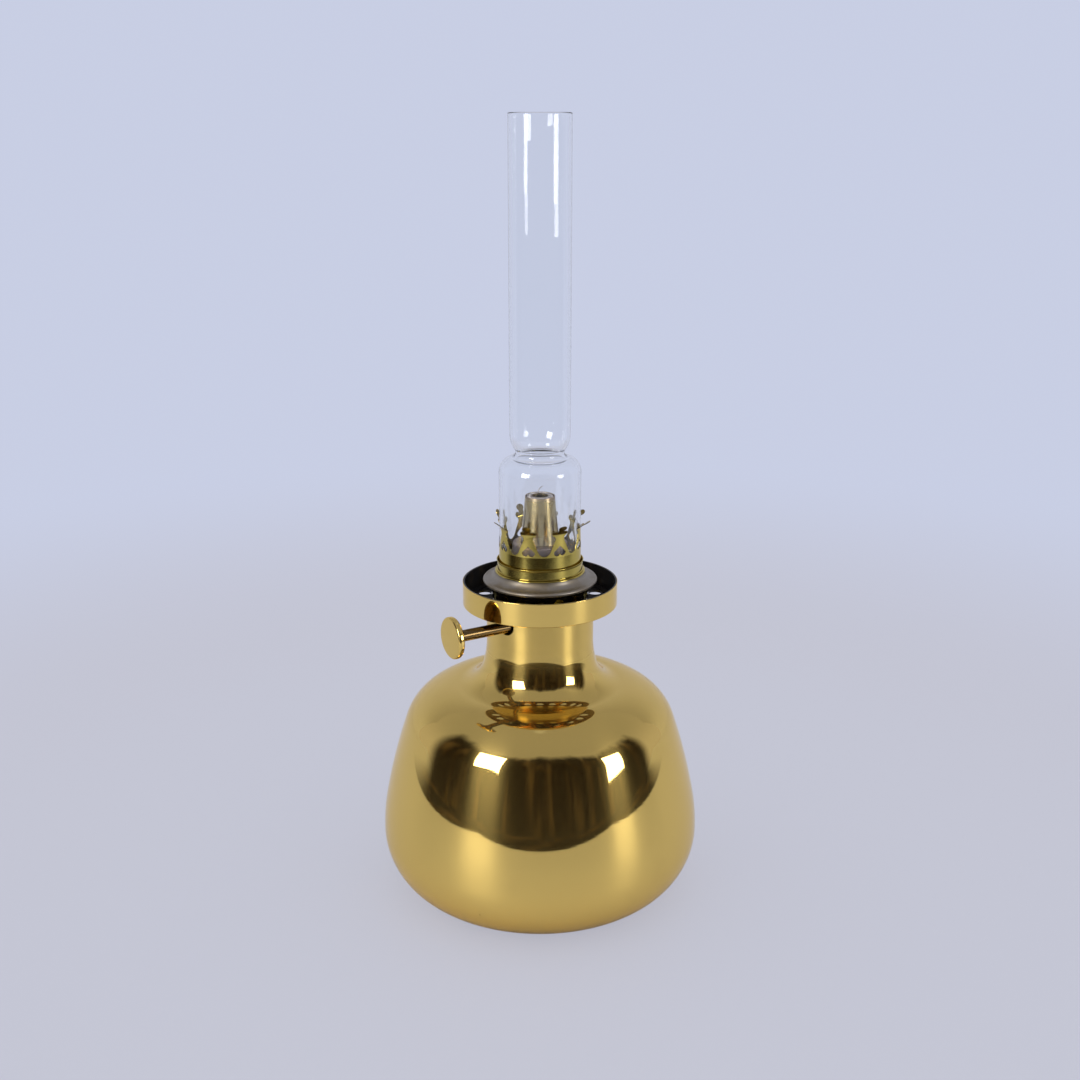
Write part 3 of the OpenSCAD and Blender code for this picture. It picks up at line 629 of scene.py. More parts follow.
@listed
def dark_brass(at, look):
    """Brass darkened as painted shade on the ring's underside and the knob's back, partly tarnish and partly
    painted shade on the rod, still bright where it is handled.
    """
    lines = noise(stretched(at, (1, 0.2, 0.2)), scale=1500, detail=2)
    patch = noise(at, scale=240, detail=3)
    base = mix(between(patch, 0.5, 0.75) * 0.15, look.dark_brass, look.old_brass)
    return metal(base, 0.16 + patch * 0.12, bump(lines, 6 * MICRON))


@listed
def turned_brass(at, look):
    """Brass from the lathe, with tool marks."""
    marks = spun_lines(at, scale=2600, detail=2)
    patch = noise(at, scale=90, detail=3)
    base = mix(between(patch, 0.45, 0.75) * 0.5, look.old_brass, look.brown_brass)
    return metal(base, 0.27 + marks * 0.12, bump(marks, 20 * MICRON))


def satin_plating(at, fresh, aged):
    """Satin plating of one colour, worn to another in patches."""
    patch = noise(at, scale=95, detail=4)
    grain = noise(at, scale=1500, detail=2)
    lines = spun_lines(at, scale=2200, detail=2)
    worn = between(patch, 0.42, 0.7)
    normal = bump(lines * 0.6 + grain * 0.5, 12 * MICRON)
    return metal(mix(worn, fresh, aged), 0.44 + worn * 0.1 + grain * 0.06, normal)


@listed
def grey_plating(at, look):
    """Satin grey plating, worn brown in patches."""
    return satin_plating(at, look.grey, look.grey_brown)


@listed
def jacket_plating(at, look):
    """The same plating, browned by heat."""
    return satin_plating(at, look.jacket, look.brown_brass)


@listed
def heated_tube(at, look):
    """Thin brass tube, dulled by heat and scuffed on one side."""
    x, y, height = split(at)
    dents = noise(stretched(at, (1, 1, 0.7)), scale=620, detail=2)
    patch = noise(at, scale=160, detail=4)
    hot = between(height + patch * (4 * MM), TUBE_TOP - 0.5 * MM, TUBE_TOP + 3 * MM)
    towards = (x * math.cos(look.scuff_turn) + y * math.sin(look.scuff_turn)) / from_axis(at)
    scratches = between(noise(at, scale=2400, detail=2), 0.5, 0.65)
    scuffs = scratches * between(towards, 0.93, 0.99)
    base = mix(between(patch, 0.4, 0.75) * 0.4, look.tube, look.brown_brass)
    base = mix(hot * 0.7, base, look.scorch)
    normal = bump(dents * 0.2 + scuffs, 20 * MICRON, 0.5)
    return lined_metal(base, 0.16 + patch * 0.1 + hot * 0.2, normal, strength=0.5)


@listed
def soot_black(at, look):
    """Blackened metal."""
    patch = noise(at, scale=140, detail=4)
    base = mix(between(patch, 0.5, 0.8) * 0.2, look.soot, look.brown_brass)
    return surface(base, 0.3 + patch * 0.25, bump(patch, 20 * MICRON), Metallic=0.35)


@listed
def bright_plating(at, look):
    """Smooth plating that mirrors the sooty ring round it."""
    patch = noise(at, scale=180, detail=3)
    base = mix(between(patch, 0.45, 0.75) * 0.4, look.basket, look.brown_brass)
    return metal(base, 0.06 + patch * 0.08, bump(patch, 10 * MICRON))


@listed
def turned_steel(at, look):
    """Bright drawn steel with lines along it."""
    lines = noise(stretched(at, (0.05, 1, 1)), scale=2400, detail=2)
    patch = noise(at, scale=200, detail=3)
    base = mix(between(patch, 0.5, 0.8) * 0.4, look.steel, look.grey_brown)
    return metal(base, 0.24 + lines * 0.16, bump(lines, 10 * MICRON))


@listed
def moulded_rubber(at, look):
    """Matte rubber with a moulded grain."""
    grain = noise(at, scale=1400, detail=3)
    base = mix(grain * 0.4, look.rubber, look.grey_brown)
    return surface(base, 0.6 + grain * 0.2, bump(grain, 40 * MICRON))


@listed
def woven_cotton(at, look):
    """Woven cotton, scorched at its top."""
    x, y, z = split(at)
    ribs = z.maths("SINE", z.maths("ARCTAN2", y, x) * look.wick_ribs)
    picks = z.maths("SINE", z * look.wick_picks)
    fuzz = noise(at, scale=2600, detail=3)
    burn = between(z + fuzz * (1.2 * MM), TUBE_TOP - 0.2 * MM, TUBE_TOP + 1.2 * MM)
    base = mix(burn * 0.5 + fuzz * 0.12, look.cotton, look.scorch)
    normal = bump(ribs * picks * 0.5 + fuzz, 80 * MICRON)
    return surface(base, 0.85 + fuzz * 0.1, normal, Sheen_Weight=0.3)


@listed
def chimney_glass(at, look):
    """Clear glass, a little wavy, with faint smears."""
    wave = noise(stretched(at, (1, 1, 0.25)), scale=45, detail=1)
    smear = between(noise(at, scale=60, detail=4), 0.6, 0.85)
    base = mix(smear * 0.3, look.glass, look.glass_smear)
    normal = bump(wave, 0.3 * MM, 0.04)
    return surface(base, smear * 0.03, normal, IOR=look.glass_ior, Transmission_Weight=1.0)


class LampBody(bpy.types.Operator):
    """Spin the body with its neck, and cut the winder's slot"""

    bl_idname = "lamp.body"
    bl_label = "Body"

    def execute(self, context):
        shape = context.scene.lamp_shape
        wall = shape.body_wall
        inset = reach("body_shell") - shape.foot_radius
        foot_arc = (shape.belly_height ** 2 + inset ** 2) / (2 * inset)
        foot_turn = math.asin(shape.belly_height / foot_arc)
        arcs = [
            (foot_arc, foot_turn),
            (shape.belly_arc, shape.belly_turn),
            (shape.side_arc, shape.side_turn),
            (shape.shoulder_arc, shape.shoulder_turn),
            (shape.crest_arc, shape.crest_turn),
        ]
        lip = shape.foot_radius - shape.foot_lip
        pen = Outline(lip, wall)
        pen.line_to(lip, 0).line_to(shape.foot_radius, 0)
        pen.heading = QUARTER_TURN - foot_turn
        for radius, turn in arcs:
            pen.bend(radius, turn)
        lean = pen.heading - QUARTER_TURN
        flared = shape.neck_radius + shape.neck_flare * (1 - math.cos(shape.flare_turn))
        fillet = (pen.end.co.x - flared) / (math.cos(shape.flare_turn) - math.cos(lean))
        for radius, turn in ((fillet, shape.flare_turn - lean), (shape.neck_flare, -shape.flare_turn)):
            arcs.append((radius, turn))
            pen.bend(radius, turn)
        neck_start = pen.end.co.z
        pen.line_to(shape.neck_radius, NECK_TOP - wall / 2).bend(wall / 2, HALF_TURN)
        pen.line_to(shape.neck_radius - wall, neck_start)
        for radius, turn in reversed(arcs):
            pen.bend(radius - math.copysign(wall, turn), -turn)
        piece = to_object(context, "lamp_body", pen.close().turned(steps=224), "body_brass")
        cut_away(context, piece, self.slot(shape))
        dress(piece, "base", "polished_brass", "body_shell", "body_pan", crease=30)
        return {"FINISHED"}

    def slot(self, shape):
        """Cutter for the slot, round below and open above."""
        half = shape.slot_half_width
        pen = Outline(half, NECK_TOP + half)
        pen.line_to(half, WINDER_AXIS.z).arc_about((0, 0, WINDER_AXIS.z), -HALF_TURN)
        mesh = pen.line_to(-half, NECK_TOP + half).close().mesh
        face = bmesh.ops.contextual_create(mesh, geom=mesh.edges[:])["faces"]
        across = Matrix.Rotation(QUARTER_TURN, 3, "Z")
        bmesh.ops.rotate(mesh, verts=mesh.verts, cent=(0, 0, 0), matrix=across)
        bmesh.ops.translate(mesh, verts=mesh.verts, vec=(-shape.neck_radius / 2, WINDER_AXIS.y, 0))
        side = bmesh.ops.extrude_face_region(mesh, geom=face)["geom"]
        bmesh.ops.translate(mesh, verts=points_of(side), vec=(-shape.neck_radius, 0, 0))
        clean(mesh)
        return mesh


class LampRing(bpy.types.Operator):
    """Turn the shade ring and drill its air holes"""

    bl_idname = "lamp.ring"
    bl_label = "Shade ring"

    def execute(self, context):
        shape = context.scene.lamp_shape
        low, high, outside = foot("shade_ring"), top("shade_ring"), reach("shade_ring")
        sheet, edge, hole = shape.ring_sheet, shape.ring_edge, bore("shade_ring")
        inside, floor, corner = outside - sheet, low + sheet, sheet / 2
        land = floor + shape.ring_land_rise
        pen = Outline(hole, low)
        pen.line_to(outside - corner, low).bend(corner, QUARTER_TURN)
        pen.line_to(outside, high - edge).bend(edge, QUARTER_TURN)
        pen.line_to(inside + edge, high).bend(edge, QUARTER_TURN)
        pen.line_to(inside, land).line_to(inside - shape.ring_land, land)
        pen.line_to(inside - shape.ring_land, floor).line_to(hole, floor)
        mesh = pen.close().turned(steps=192)
        bright, sooty, dark = range(3)
        for face in mesh.faces:
            middle = face.calc_center_median()
            within = middle.xy.length < outside - edge and middle.z > low + corner
            # Faces that point down get the dark brass as painted shade
            faces_down_shaded = face.normal.z < -0.9
            face.material_index = sooty if within else dark if faces_down_shaded else bright
        piece = to_object(context, "shade_ring_dressed", mesh, "ring_brass", "soot_black", "dark_brass")
        cut_away(context, piece, self.drills(shape, low - sheet, floor + sheet), "soot_black")
        dress(piece, "burner", "polished_brass", "shade_ring")
        return {"FINISHED"}

    def drills(self, shape, low, high):
        """Cutters for the air holes."""
        mesh = bmesh.new()
        for index in range(shape.ring_holes):
            around = shape.ring_turn + FULL_TURN * index / shape.ring_holes
            out = shape.ring_hole_circle
            place = Matrix.Translation((out * math.cos(around), out * math.sin(around), (low + high) / 2))
            bmesh.ops.create_cone(
                mesh, cap_ends=True, segments=32, radius1=shape.ring_hole_radius,
                radius2=shape.ring_hole_radius, depth=high - low, matrix=place)
        return mesh


class LampSkirt(bpy.types.Operator):
    """Turn the grey skirt and the brass gallery seat"""

    bl_idname = "lamp.skirt"
    bl_label = "Skirt and gallery seat"

    def execute(self, context):
        shape = context.scene.lamp_shape
        side, flange = reach("gallery_seat") - shape.lip_flare, bore("gallery_seat")
        self.skirt(context, shape, side + shape.skirt_shoulder, flange)
        self.seat(context, shape, side, flange)
        return {"FINISHED"}

    def skirt(self, context, shape, shoulder, flange):
        """The coved skirt, with a rolled edge and a brass top."""
        sheet, bead, cove, step = shape.burner_sheet, shape.skirt_bead, shape.skirt_cove, shape.skirt_step
        edge, rim_top = reach("burner_skirt") - bead, SKIRT_FOOT + 2 * bead
        pen = Outline(shape.skirt_bore, SKIRT_FOOT + sheet)
        pen.line_to(shape.skirt_bore, SKIRT_FOOT)
        pen.line_to(edge, SKIRT_FOOT).bend(bead, HALF_TURN)
        pen.line_to(shoulder + cove, rim_top).bend(cove, -QUARTER_TURN).bend(step, QUARTER_TURN)
        pen.line_to(flange, SKIRT_TOP).line_to(flange, SKIRT_TOP - step)
        pen.line_to(shoulder - sheet, rim_top + cove)
        pen.heading = -QUARTER_TURN
        pen.bend(cove + sheet, QUARTER_TURN)
        pen.line_to(edge, rim_top - sheet).bend(bead - sheet, -HALF_TURN)
        mesh = pen.close().turned(steps=160)
        for face in mesh.faces:
            face.material_index = int(face.calc_center_median().z > rim_top + cove)
        piece = to_object(context, "burner_skirt_dressed", mesh, "grey_plating", "old_brass")
        dress(piece, "burner", "grey_metal", "burner_skirt")

    def seat(self, context, shape, outside, flange):
        """The seat, with a bead at its foot and a flared lip."""
        sheet, bead = shape.seat_sheet, shape.seat_bead
        inside, lip = outside - sheet, SEAT_TOP - shape.lip_height
        pen = Outline(flange, SKIRT_TOP)
        pen.line_to(outside, SKIRT_TOP).bend(bead, HALF_TURN)
        pen.line_to(outside, lip)
        pen.line_to(outside + shape.lip_flare, SEAT_TOP - sheet / 2).bend(sheet / 2, HALF_TURN)
        pen.line_to(inside, lip).line_to(inside, SKIRT_TOP + sheet).line_to(flange, SKIRT_TOP + sheet)
        mesh = pen.close().turned(steps=160)
        piece = to_object(context, "gallery_seat_dressed", mesh, "old_brass")
        dress(piece, "burner", "burner_brass", "gallery_seat", crease=18)


class LampWickTube(bpy.types.Operator):
    """Turn the wick tube and the jacket round its foot"""

    bl_idname = "lamp.wick_tube"
    bl_label = "Wick tube and jacket"

    def execute(self, context):
        shape = context.scene.lamp_shape
        self.tube(context, shape)
        self.jacket(context, shape)
        return {"FINISHED"}

    def tube(self, context, shape):
        """The wick tube, narrower towards its top."""
        sheet, outside = shape.tube_sheet, reach("wick_tube")
        pen = Outline(outside - sheet, PLATE_TOP)
        pen.line_to(outside, PLATE_TOP)
        pen.line_to(shape.tube_top_radius, TUBE_TOP - sheet / 2).bend(sheet / 2, HALF_TURN)
        piece = to_object(context, "wick_tube_dressed", pen.close().turned(steps=128), "heated_tube")
        dress(piece, "burner", "burner_brass", "wick_tube", crease=60)

    def jacket(self, context, shape):
        """The jacket, with a lid round the tube."""
        outside, high, sheet = reach("tube_jacket"), top("tube_jacket"), shape.burner_sheet
        lid = bore("tube_jacket")
        pen = Outline(outside - sheet, PLATE_TOP)
        pen.line_to(outside, PLATE_TOP).line_to(outside, high - sheet).bend(sheet, QUARTER_TURN)
        pen.line_to(lid, high).line_to(lid, high - sheet).line_to(outside - sheet, high - sheet)
        piece = to_object(context, "tube_jacket_dressed", pen.close().turned(steps=128), "jacket_plating")
        dress(piece, "burner", "grey_metal", "tube_jacket")


class LampCrown(bpy.types.Operator):
    """Stamp the crown flat, roll it and bend its tips"""

    bl_idname = "lamp.crown"
    bl_label = "Gallery crown"

    # Spacing of the lines along which the sheet bends, and where they start below the bend of a tip
    SCORE_PITCH = 0.45 * MM
    SCORE_START = 1.5 * MM

    def execute(self, context):
        shape = context.scene.lamp_shape
        mesh = bmesh.new()
        for index, tip_bend in enumerate(shape.prong_bends):
            panel = self.flat_prong(shape)
            around = shape.crown_turn + FULL_TURN * index / len(shape.prong_bends)
            self.roll(panel, shape, around, tip_bend)
            join(mesh, panel)
        clean(mesh)
        level = Vector((1, 1, 0))
        if sum(face.normal.dot(face.calc_center_median() * level) for face in mesh.faces) < 0:
            bmesh.ops.reverse_faces(mesh, faces=mesh.faces)
        bmesh.ops.solidify(mesh, geom=mesh.faces[:], thickness=shape.crown_sheet)
        join(mesh, self.ledge(shape))
        piece = to_object(context, "gallery_crown_dressed", mesh, "old_brass")
        dress(piece, "gallery", "burner_brass", "gallery_crown")
        return {"FINISHED"}

    def flat_prong(self, shape):
        """One prong with its share of the band, flat, its height counted from the seat."""
        half = HALF_TURN * shape.crown_radius / len(shape.prong_bends)
        band, bend, lobe = shape.crown_band, shape.prong_bend_height, shape.heart_lobe
        heart, flank = band + lobe, shape.heart_flank
        low = PLATE_TOP - SEAT_TOP
        pen = Outline(0, low)
        pen.line_to(half, low).line_to(half, band)
        self.valley(pen, shape, half)
        self.tip(pen, shape)
        pen.line_to(0, heart + shape.heart_height - lobe)
        pen.line_to(lobe + lobe * math.cos(flank), heart + lobe * math.sin(flank))
        pen.arc_about(Vector((lobe, 0, heart)), -HALF_TURN - flank)
        mesh = pen.close().mesh
        bmesh.ops.contextual_create(mesh, geom=mesh.edges[:])
        bmesh.ops.triangulate(mesh, faces=mesh.faces[:])
        self.score(mesh, (1, 0, 0), 0, half)
        self.score(mesh, (0, 0, 1), bend - self.SCORE_START, bend + shape.tip_length)
        bmesh.ops.mirror(mesh, geom=everything(mesh), axis="X", merge_dist=MERGE_DISTANCE)
        return mesh

    def valley(self, pen, shape, half):
        """Draws the side of a prong from the valley up past its waist."""
        valley, hollow = shape.valley_radius, shape.hollow_radius
        across = half - shape.prong_waist - hollow
        up = shape.waist_height - shape.crown_band - valley
        span = math.hypot(across, up)
        lean = math.acos((valley - hollow) / span) - math.atan2(up, across)
        pen.heading = HALF_TURN
        pen.bend(valley, lean - QUARTER_TURN)
        pen.forward(math.sqrt(span ** 2 - (valley - hollow) ** 2))
        pen.bend(hollow, -lean - shape.hollow_turn)

    def tip(self, pen, shape):
        """Draws one side of the trefoil tip."""
        shares = (shape.tip_side, shape.tip_crest, shape.tip_stem)
        side, crest, stem = (shape.tip_half_width * share for share in shares)
        side_centre = Vector((shape.tip_half_width - side, 0, shape.prong_bend_height + side / 4))
        crest_centre = Vector((0, 0, shape.prong_bend_height + shape.tip_length - crest))
        start = shape.tip_start
        pen.line_to(side_centre.x + side * math.cos(start), side_centre.z + side * math.sin(start))
        pen.arc_about(side_centre, math.acos((stem - side_centre.x) / side) - start)
        below = math.acos(stem / crest)
        pen.line_to(stem, crest_centre.z - crest * math.sin(below))
        pen.arc_about(crest_centre, QUARTER_TURN + below)

    def score(self, mesh, direction, low, high):
        """Cuts the sheet along a row of lines, so that it can bend there."""
        for step in range(1, math.ceil((high - low) / self.SCORE_PITCH)):
            place = Vector(direction) * (low + step * self.SCORE_PITCH)
            bmesh.ops.bisect_plane(
                mesh, geom=everything(mesh), dist=MERGE_DISTANCE, plane_co=place, plane_no=direction)

    def roll(self, mesh, shape, around, tip_bend):
        """Rolls the flat prong round the lamp's axis and bends its tip outward."""
        bend_radius = shape.prong_bend_radius
        bend = shape.prong_bend_height - bend_radius * tip_bend / 2
        for vertex in mesh.verts:
            radius, height = shape.crown_radius, vertex.co.z
            if height > bend:
                run = min((height - bend) / bend_radius, tip_bend)
                rest = height - bend - run * bend_radius
                radius += bend_radius * (1 - math.cos(run)) + rest * math.sin(run)
                height = bend + bend_radius * math.sin(run) + rest * math.cos(run)
            place = around + vertex.co.x / shape.crown_radius
            vertex.co = (radius * math.cos(place), radius * math.sin(place), SEAT_TOP + height)

    def ledge(self, shape):
        """The ledge that the chimney stands on."""
        outside, high = shape.crown_radius, foot("chimney")
        inside = outside - shape.ledge_width
        pen = Outline(inside, SEAT_TOP)
        pen.line_to(outside, SEAT_TOP).line_to(outside, high).line_to(inside, high)
        return pen.close().turned(steps=128)


class LampChimney(bpy.types.Operator):
    """Blow the glass chimney"""

    bl_idname = "lamp.chimney"
    bl_label = "Chimney"

    def execute(self, context):
        shape = context.scene.lamp_shape
        wall, low, high = shape.glass_wall, foot("chimney"), top("chimney")
        bulb, fillet, edge = reach("chimney"), shape.glass_fillet, wall / 2
        dome_turn, flare_turn = shape.glass_dome_turn, shape.glass_flare_turn
        dome = (bulb - shape.glass_waist) / (1 - math.cos(dome_turn)) - fillet
        flare = (shape.glass_tube - shape.glass_waist) / (1 - math.cos(flare_turn)) - fillet
        arcs = [(dome, dome_turn), (fillet, -dome_turn - flare_turn), (flare, flare_turn)]
        bulb_top, bulb_middle = low + shape.bulb_height, low + shape.bulb_height / 2
        pen = Outline(shape.glass_foot - edge, low)
        pen.bend(edge, QUARTER_TURN)
        pen.line_to(bulb, bulb_middle).line_to(bulb, bulb_top)
        for radius, turn in arcs:
            pen.bend(radius, turn)
        tube_start = pen.end.co.z
        pen.line_to(shape.glass_tube, high - edge).bend(edge, HALF_TURN)
        pen.line_to(shape.glass_tube - wall, tube_start)
        for radius, turn in reversed(arcs):
            pen.bend(radius - math.copysign(wall, turn), -turn)
        pen.line_to(bulb - wall, bulb_middle).line_to(shape.glass_foot - wall, low + edge)
        pen.bend(edge, QUARTER_TURN)
        piece = to_object(context, "chimney_dressed", pen.turned(steps=160), "chimney_glass")
        dress(piece, "chimney", "clear_glass", "chimney")
        piece.visible_shadow = False
        return {"FINISHED"}


class LampWinder(bpy.types.Operator):
    """Turn the knob and its rod"""

    bl_idname = "lamp.winder"
    bl_label = "Winder knob and rod"

    # Where the knob's face gets flatter, as a share of its radius, and the share of its rise from there on
    DOME_PLACE = 0.45
    DOME_REST = 0.25

    def execute(self, context):
        self.knob(context, context.scene.lamp_shape)
        self.rod(context)
        return {"FINISHED"}

    def knob(self, context, shape):
        """The knob, bright in front and darkened behind as painted shade."""
        low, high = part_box("winder_knob")
        radius, front, back = (high.z - low.z) / 2, -low.x, -high.x
        hub, edge, dome = shape.knob_hub, shape.knob_round, shape.knob_dome
        hub_edge = edge / 3
        disc_back = front - shape.knob_disc
        pen = Outline(0, back)
        pen.line_to(hub - hub_edge, back).bend(hub_edge, QUARTER_TURN)
        pen.line_to(hub, disc_back - hub_edge).bend(hub_edge, -QUARTER_TURN)
        pen.line_to(radius - edge, disc_back).bend(edge, QUARTER_TURN)
        pen.line_to(radius, front - dome - edge).bend(edge, shape.knob_rim_turn)
        pen.line_to(radius * self.DOME_PLACE, front - dome * self.DOME_REST).line_to(0, front)
        mesh = pen.turned(steps=128)
        # The back of the knob gets the dark brass as painted shade
        for face in mesh.faces:
            face.material_index = int(face.calc_center_median().z < disc_back + edge / 2)
        lay_along_winder(mesh)
        piece = to_object(context, "winder_knob_dressed", mesh, "mirror_brass", "dark_brass")
        dress(piece, "winder", "polished_brass", "winder_knob")

    def rod(self, context):
        """The rod from the knob into the neck, in dark brass that is partly tarnish and partly painted shade
        of the dark it mirrors.
        """
        low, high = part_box("knob_rod")
        radius, outer, inner = (high.z - low.z) / 2, -low.x, -high.x
        edge = radius / 8
        pen = Outline(0, inner)
        pen.line_to(radius - edge, inner).bend(edge, QUARTER_TURN)
        pen.line_to(radius, outer).line_to(0, outer)
        mesh = pen.turned(steps=64)
        lay_along_winder(mesh)
        # Dark brass here is partly tarnish and partly painted shade
        piece = to_object(context, "knob_rod_dressed", mesh, "dark_brass")
        dress(piece, "winder", "polished_brass", "knob_rod")


class LampWick(bpy.types.Operator):
    """Weave the round wick and seat the sealing washer"""

    bl_idname = "lamp.wick"
    bl_label = "Wick and sealing washer"

    # Reach of the slit's cutter below the wick, and rounding of the washer as a share of its thickness
    SLIT_SPARE = 1 * MM
    WASHER_ROUND = 0.3

    def execute(self, context):
        shape = context.scene.lamp_shape
        self.wick(context, shape)
        self.washer(context)
        return {"FINISHED"}

    def wick(self, context, shape):
        """The round wick, slit where it passes the air duct."""
        outside, low, high = reach("wick"), foot("wick"), top("wick")
        inside, edge = shape.wick_bore, shape.wick_edge
        pen = Outline(inside, low)
        pen.line_to(outside, low).line_to(outside, high - edge).bend(edge, QUARTER_TURN)
        pen.line_to(inside + edge, high).bend(edge, QUARTER_TURN)
        mesh = pen.close().turned(steps=96)
        join(mesh, self.thread(shape, (inside + outside) / 2, high - edge))
        piece = to_object(context, "wick_dressed", mesh, "woven_cotton")
        cut_away(context, piece, self.slit(shape, outside, low))
        dress(piece, "wick", "wick_cotton", "wick", crease=60)

    def thread(self, shape, out, low):
        """A loose thread that curls up from the top."""
        mesh = bmesh.new()
        bmesh.ops.create_circle(mesh, cap_ends=True, segments=8, radius=shape.thread_radius)
        bmesh.ops.spin(
            mesh, geom=everything(mesh), cent=(shape.thread_curl, 0, 0), axis=(0, 1, 0),
            angle=shape.thread_sweep, steps=12)
        clean(mesh)
        start = Matrix.Translation((shape.thread_shift, out, low))
        place = Matrix.Rotation(shape.thread_turn, 4, "Z") @ start
        bmesh.ops.transform(mesh, matrix=place, verts=mesh.verts)
        return mesh

    def slit(self, shape, outside, low):
        """Cutter for the slit that passes the air duct."""
        mesh = bmesh.new()
        start = low - self.SLIT_SPARE
        place = Matrix.Translation((0, outside, (start + shape.slit_top) / 2))
        size = Matrix.Diagonal((shape.slit_width, 2 * outside, shape.slit_top - start, 1))
        bmesh.ops.create_cube(mesh, size=1, matrix=place @ size)
        return mesh

    def washer(self, context):
        """The washer between burner and collar."""
        outside, inside = reach("collar_gasket"), bore("collar_gasket")
        low, high = foot("collar_gasket"), top("collar_gasket")
        edge = (high - low) * self.WASHER_ROUND
        pen = Outline(inside, low + edge)
        pen.heading = -QUARTER_TURN
        pen.bend(edge, QUARTER_TURN)
        pen.line_to(outside - edge, low).bend(edge, QUARTER_TURN)
        pen.line_to(outside, high - edge).bend(edge, QUARTER_TURN)
        pen.line_to(inside + edge, high).bend(edge, QUARTER_TURN)
        piece = to_object(context, "collar_gasket_dressed", pen.close().turned(steps=96), "moulded_rubber")
        dress(piece, "burner", "seal_rubber", "collar_gasket")


class LampFittings(bpy.types.Operator):
    """Finish the inner pieces that keep their own shape"""

    bl_idname = "lamp.fittings"
    bl_label = "Inner fittings"

    KEPT = {
        "turned_brass": (
            "base_plate", "tank_collar", "ring_lock_nut", "burner_cup", "wick_guide", "shaft_bushes"),
        "heated_tube": ("draught_tube",),
        "grey_plating": ("air_plate",),
        "bright_plating": ("air_basket",),
        "turned_steel": ("winder_shaft", "wick_wheels", "shaft_clip"),
    }

    def execute(self, context):
        for name, nodes in self.KEPT.items():
            for node in nodes:
                materials = frame["nodes"][node].data.materials
                materials.clear()
                materials.append(finish(context, name))
        return {"FINISHED"}


def seen(at):
    """1 for what the camera sees, straight or through glass."""
    straight = at.node("ShaderNodeLightPath", output="Is Camera Ray")
    through = at.node("ShaderNodeLightPath", output="Is Transmission Ray")
    return at.maths("MAXIMUM", straight, through)


def mirrored(at):
    """1 for what the metal mirrors."""
    return at.node("ShaderNodeLightPath", output="Is Glossy Ray") * (1 - seen(at))


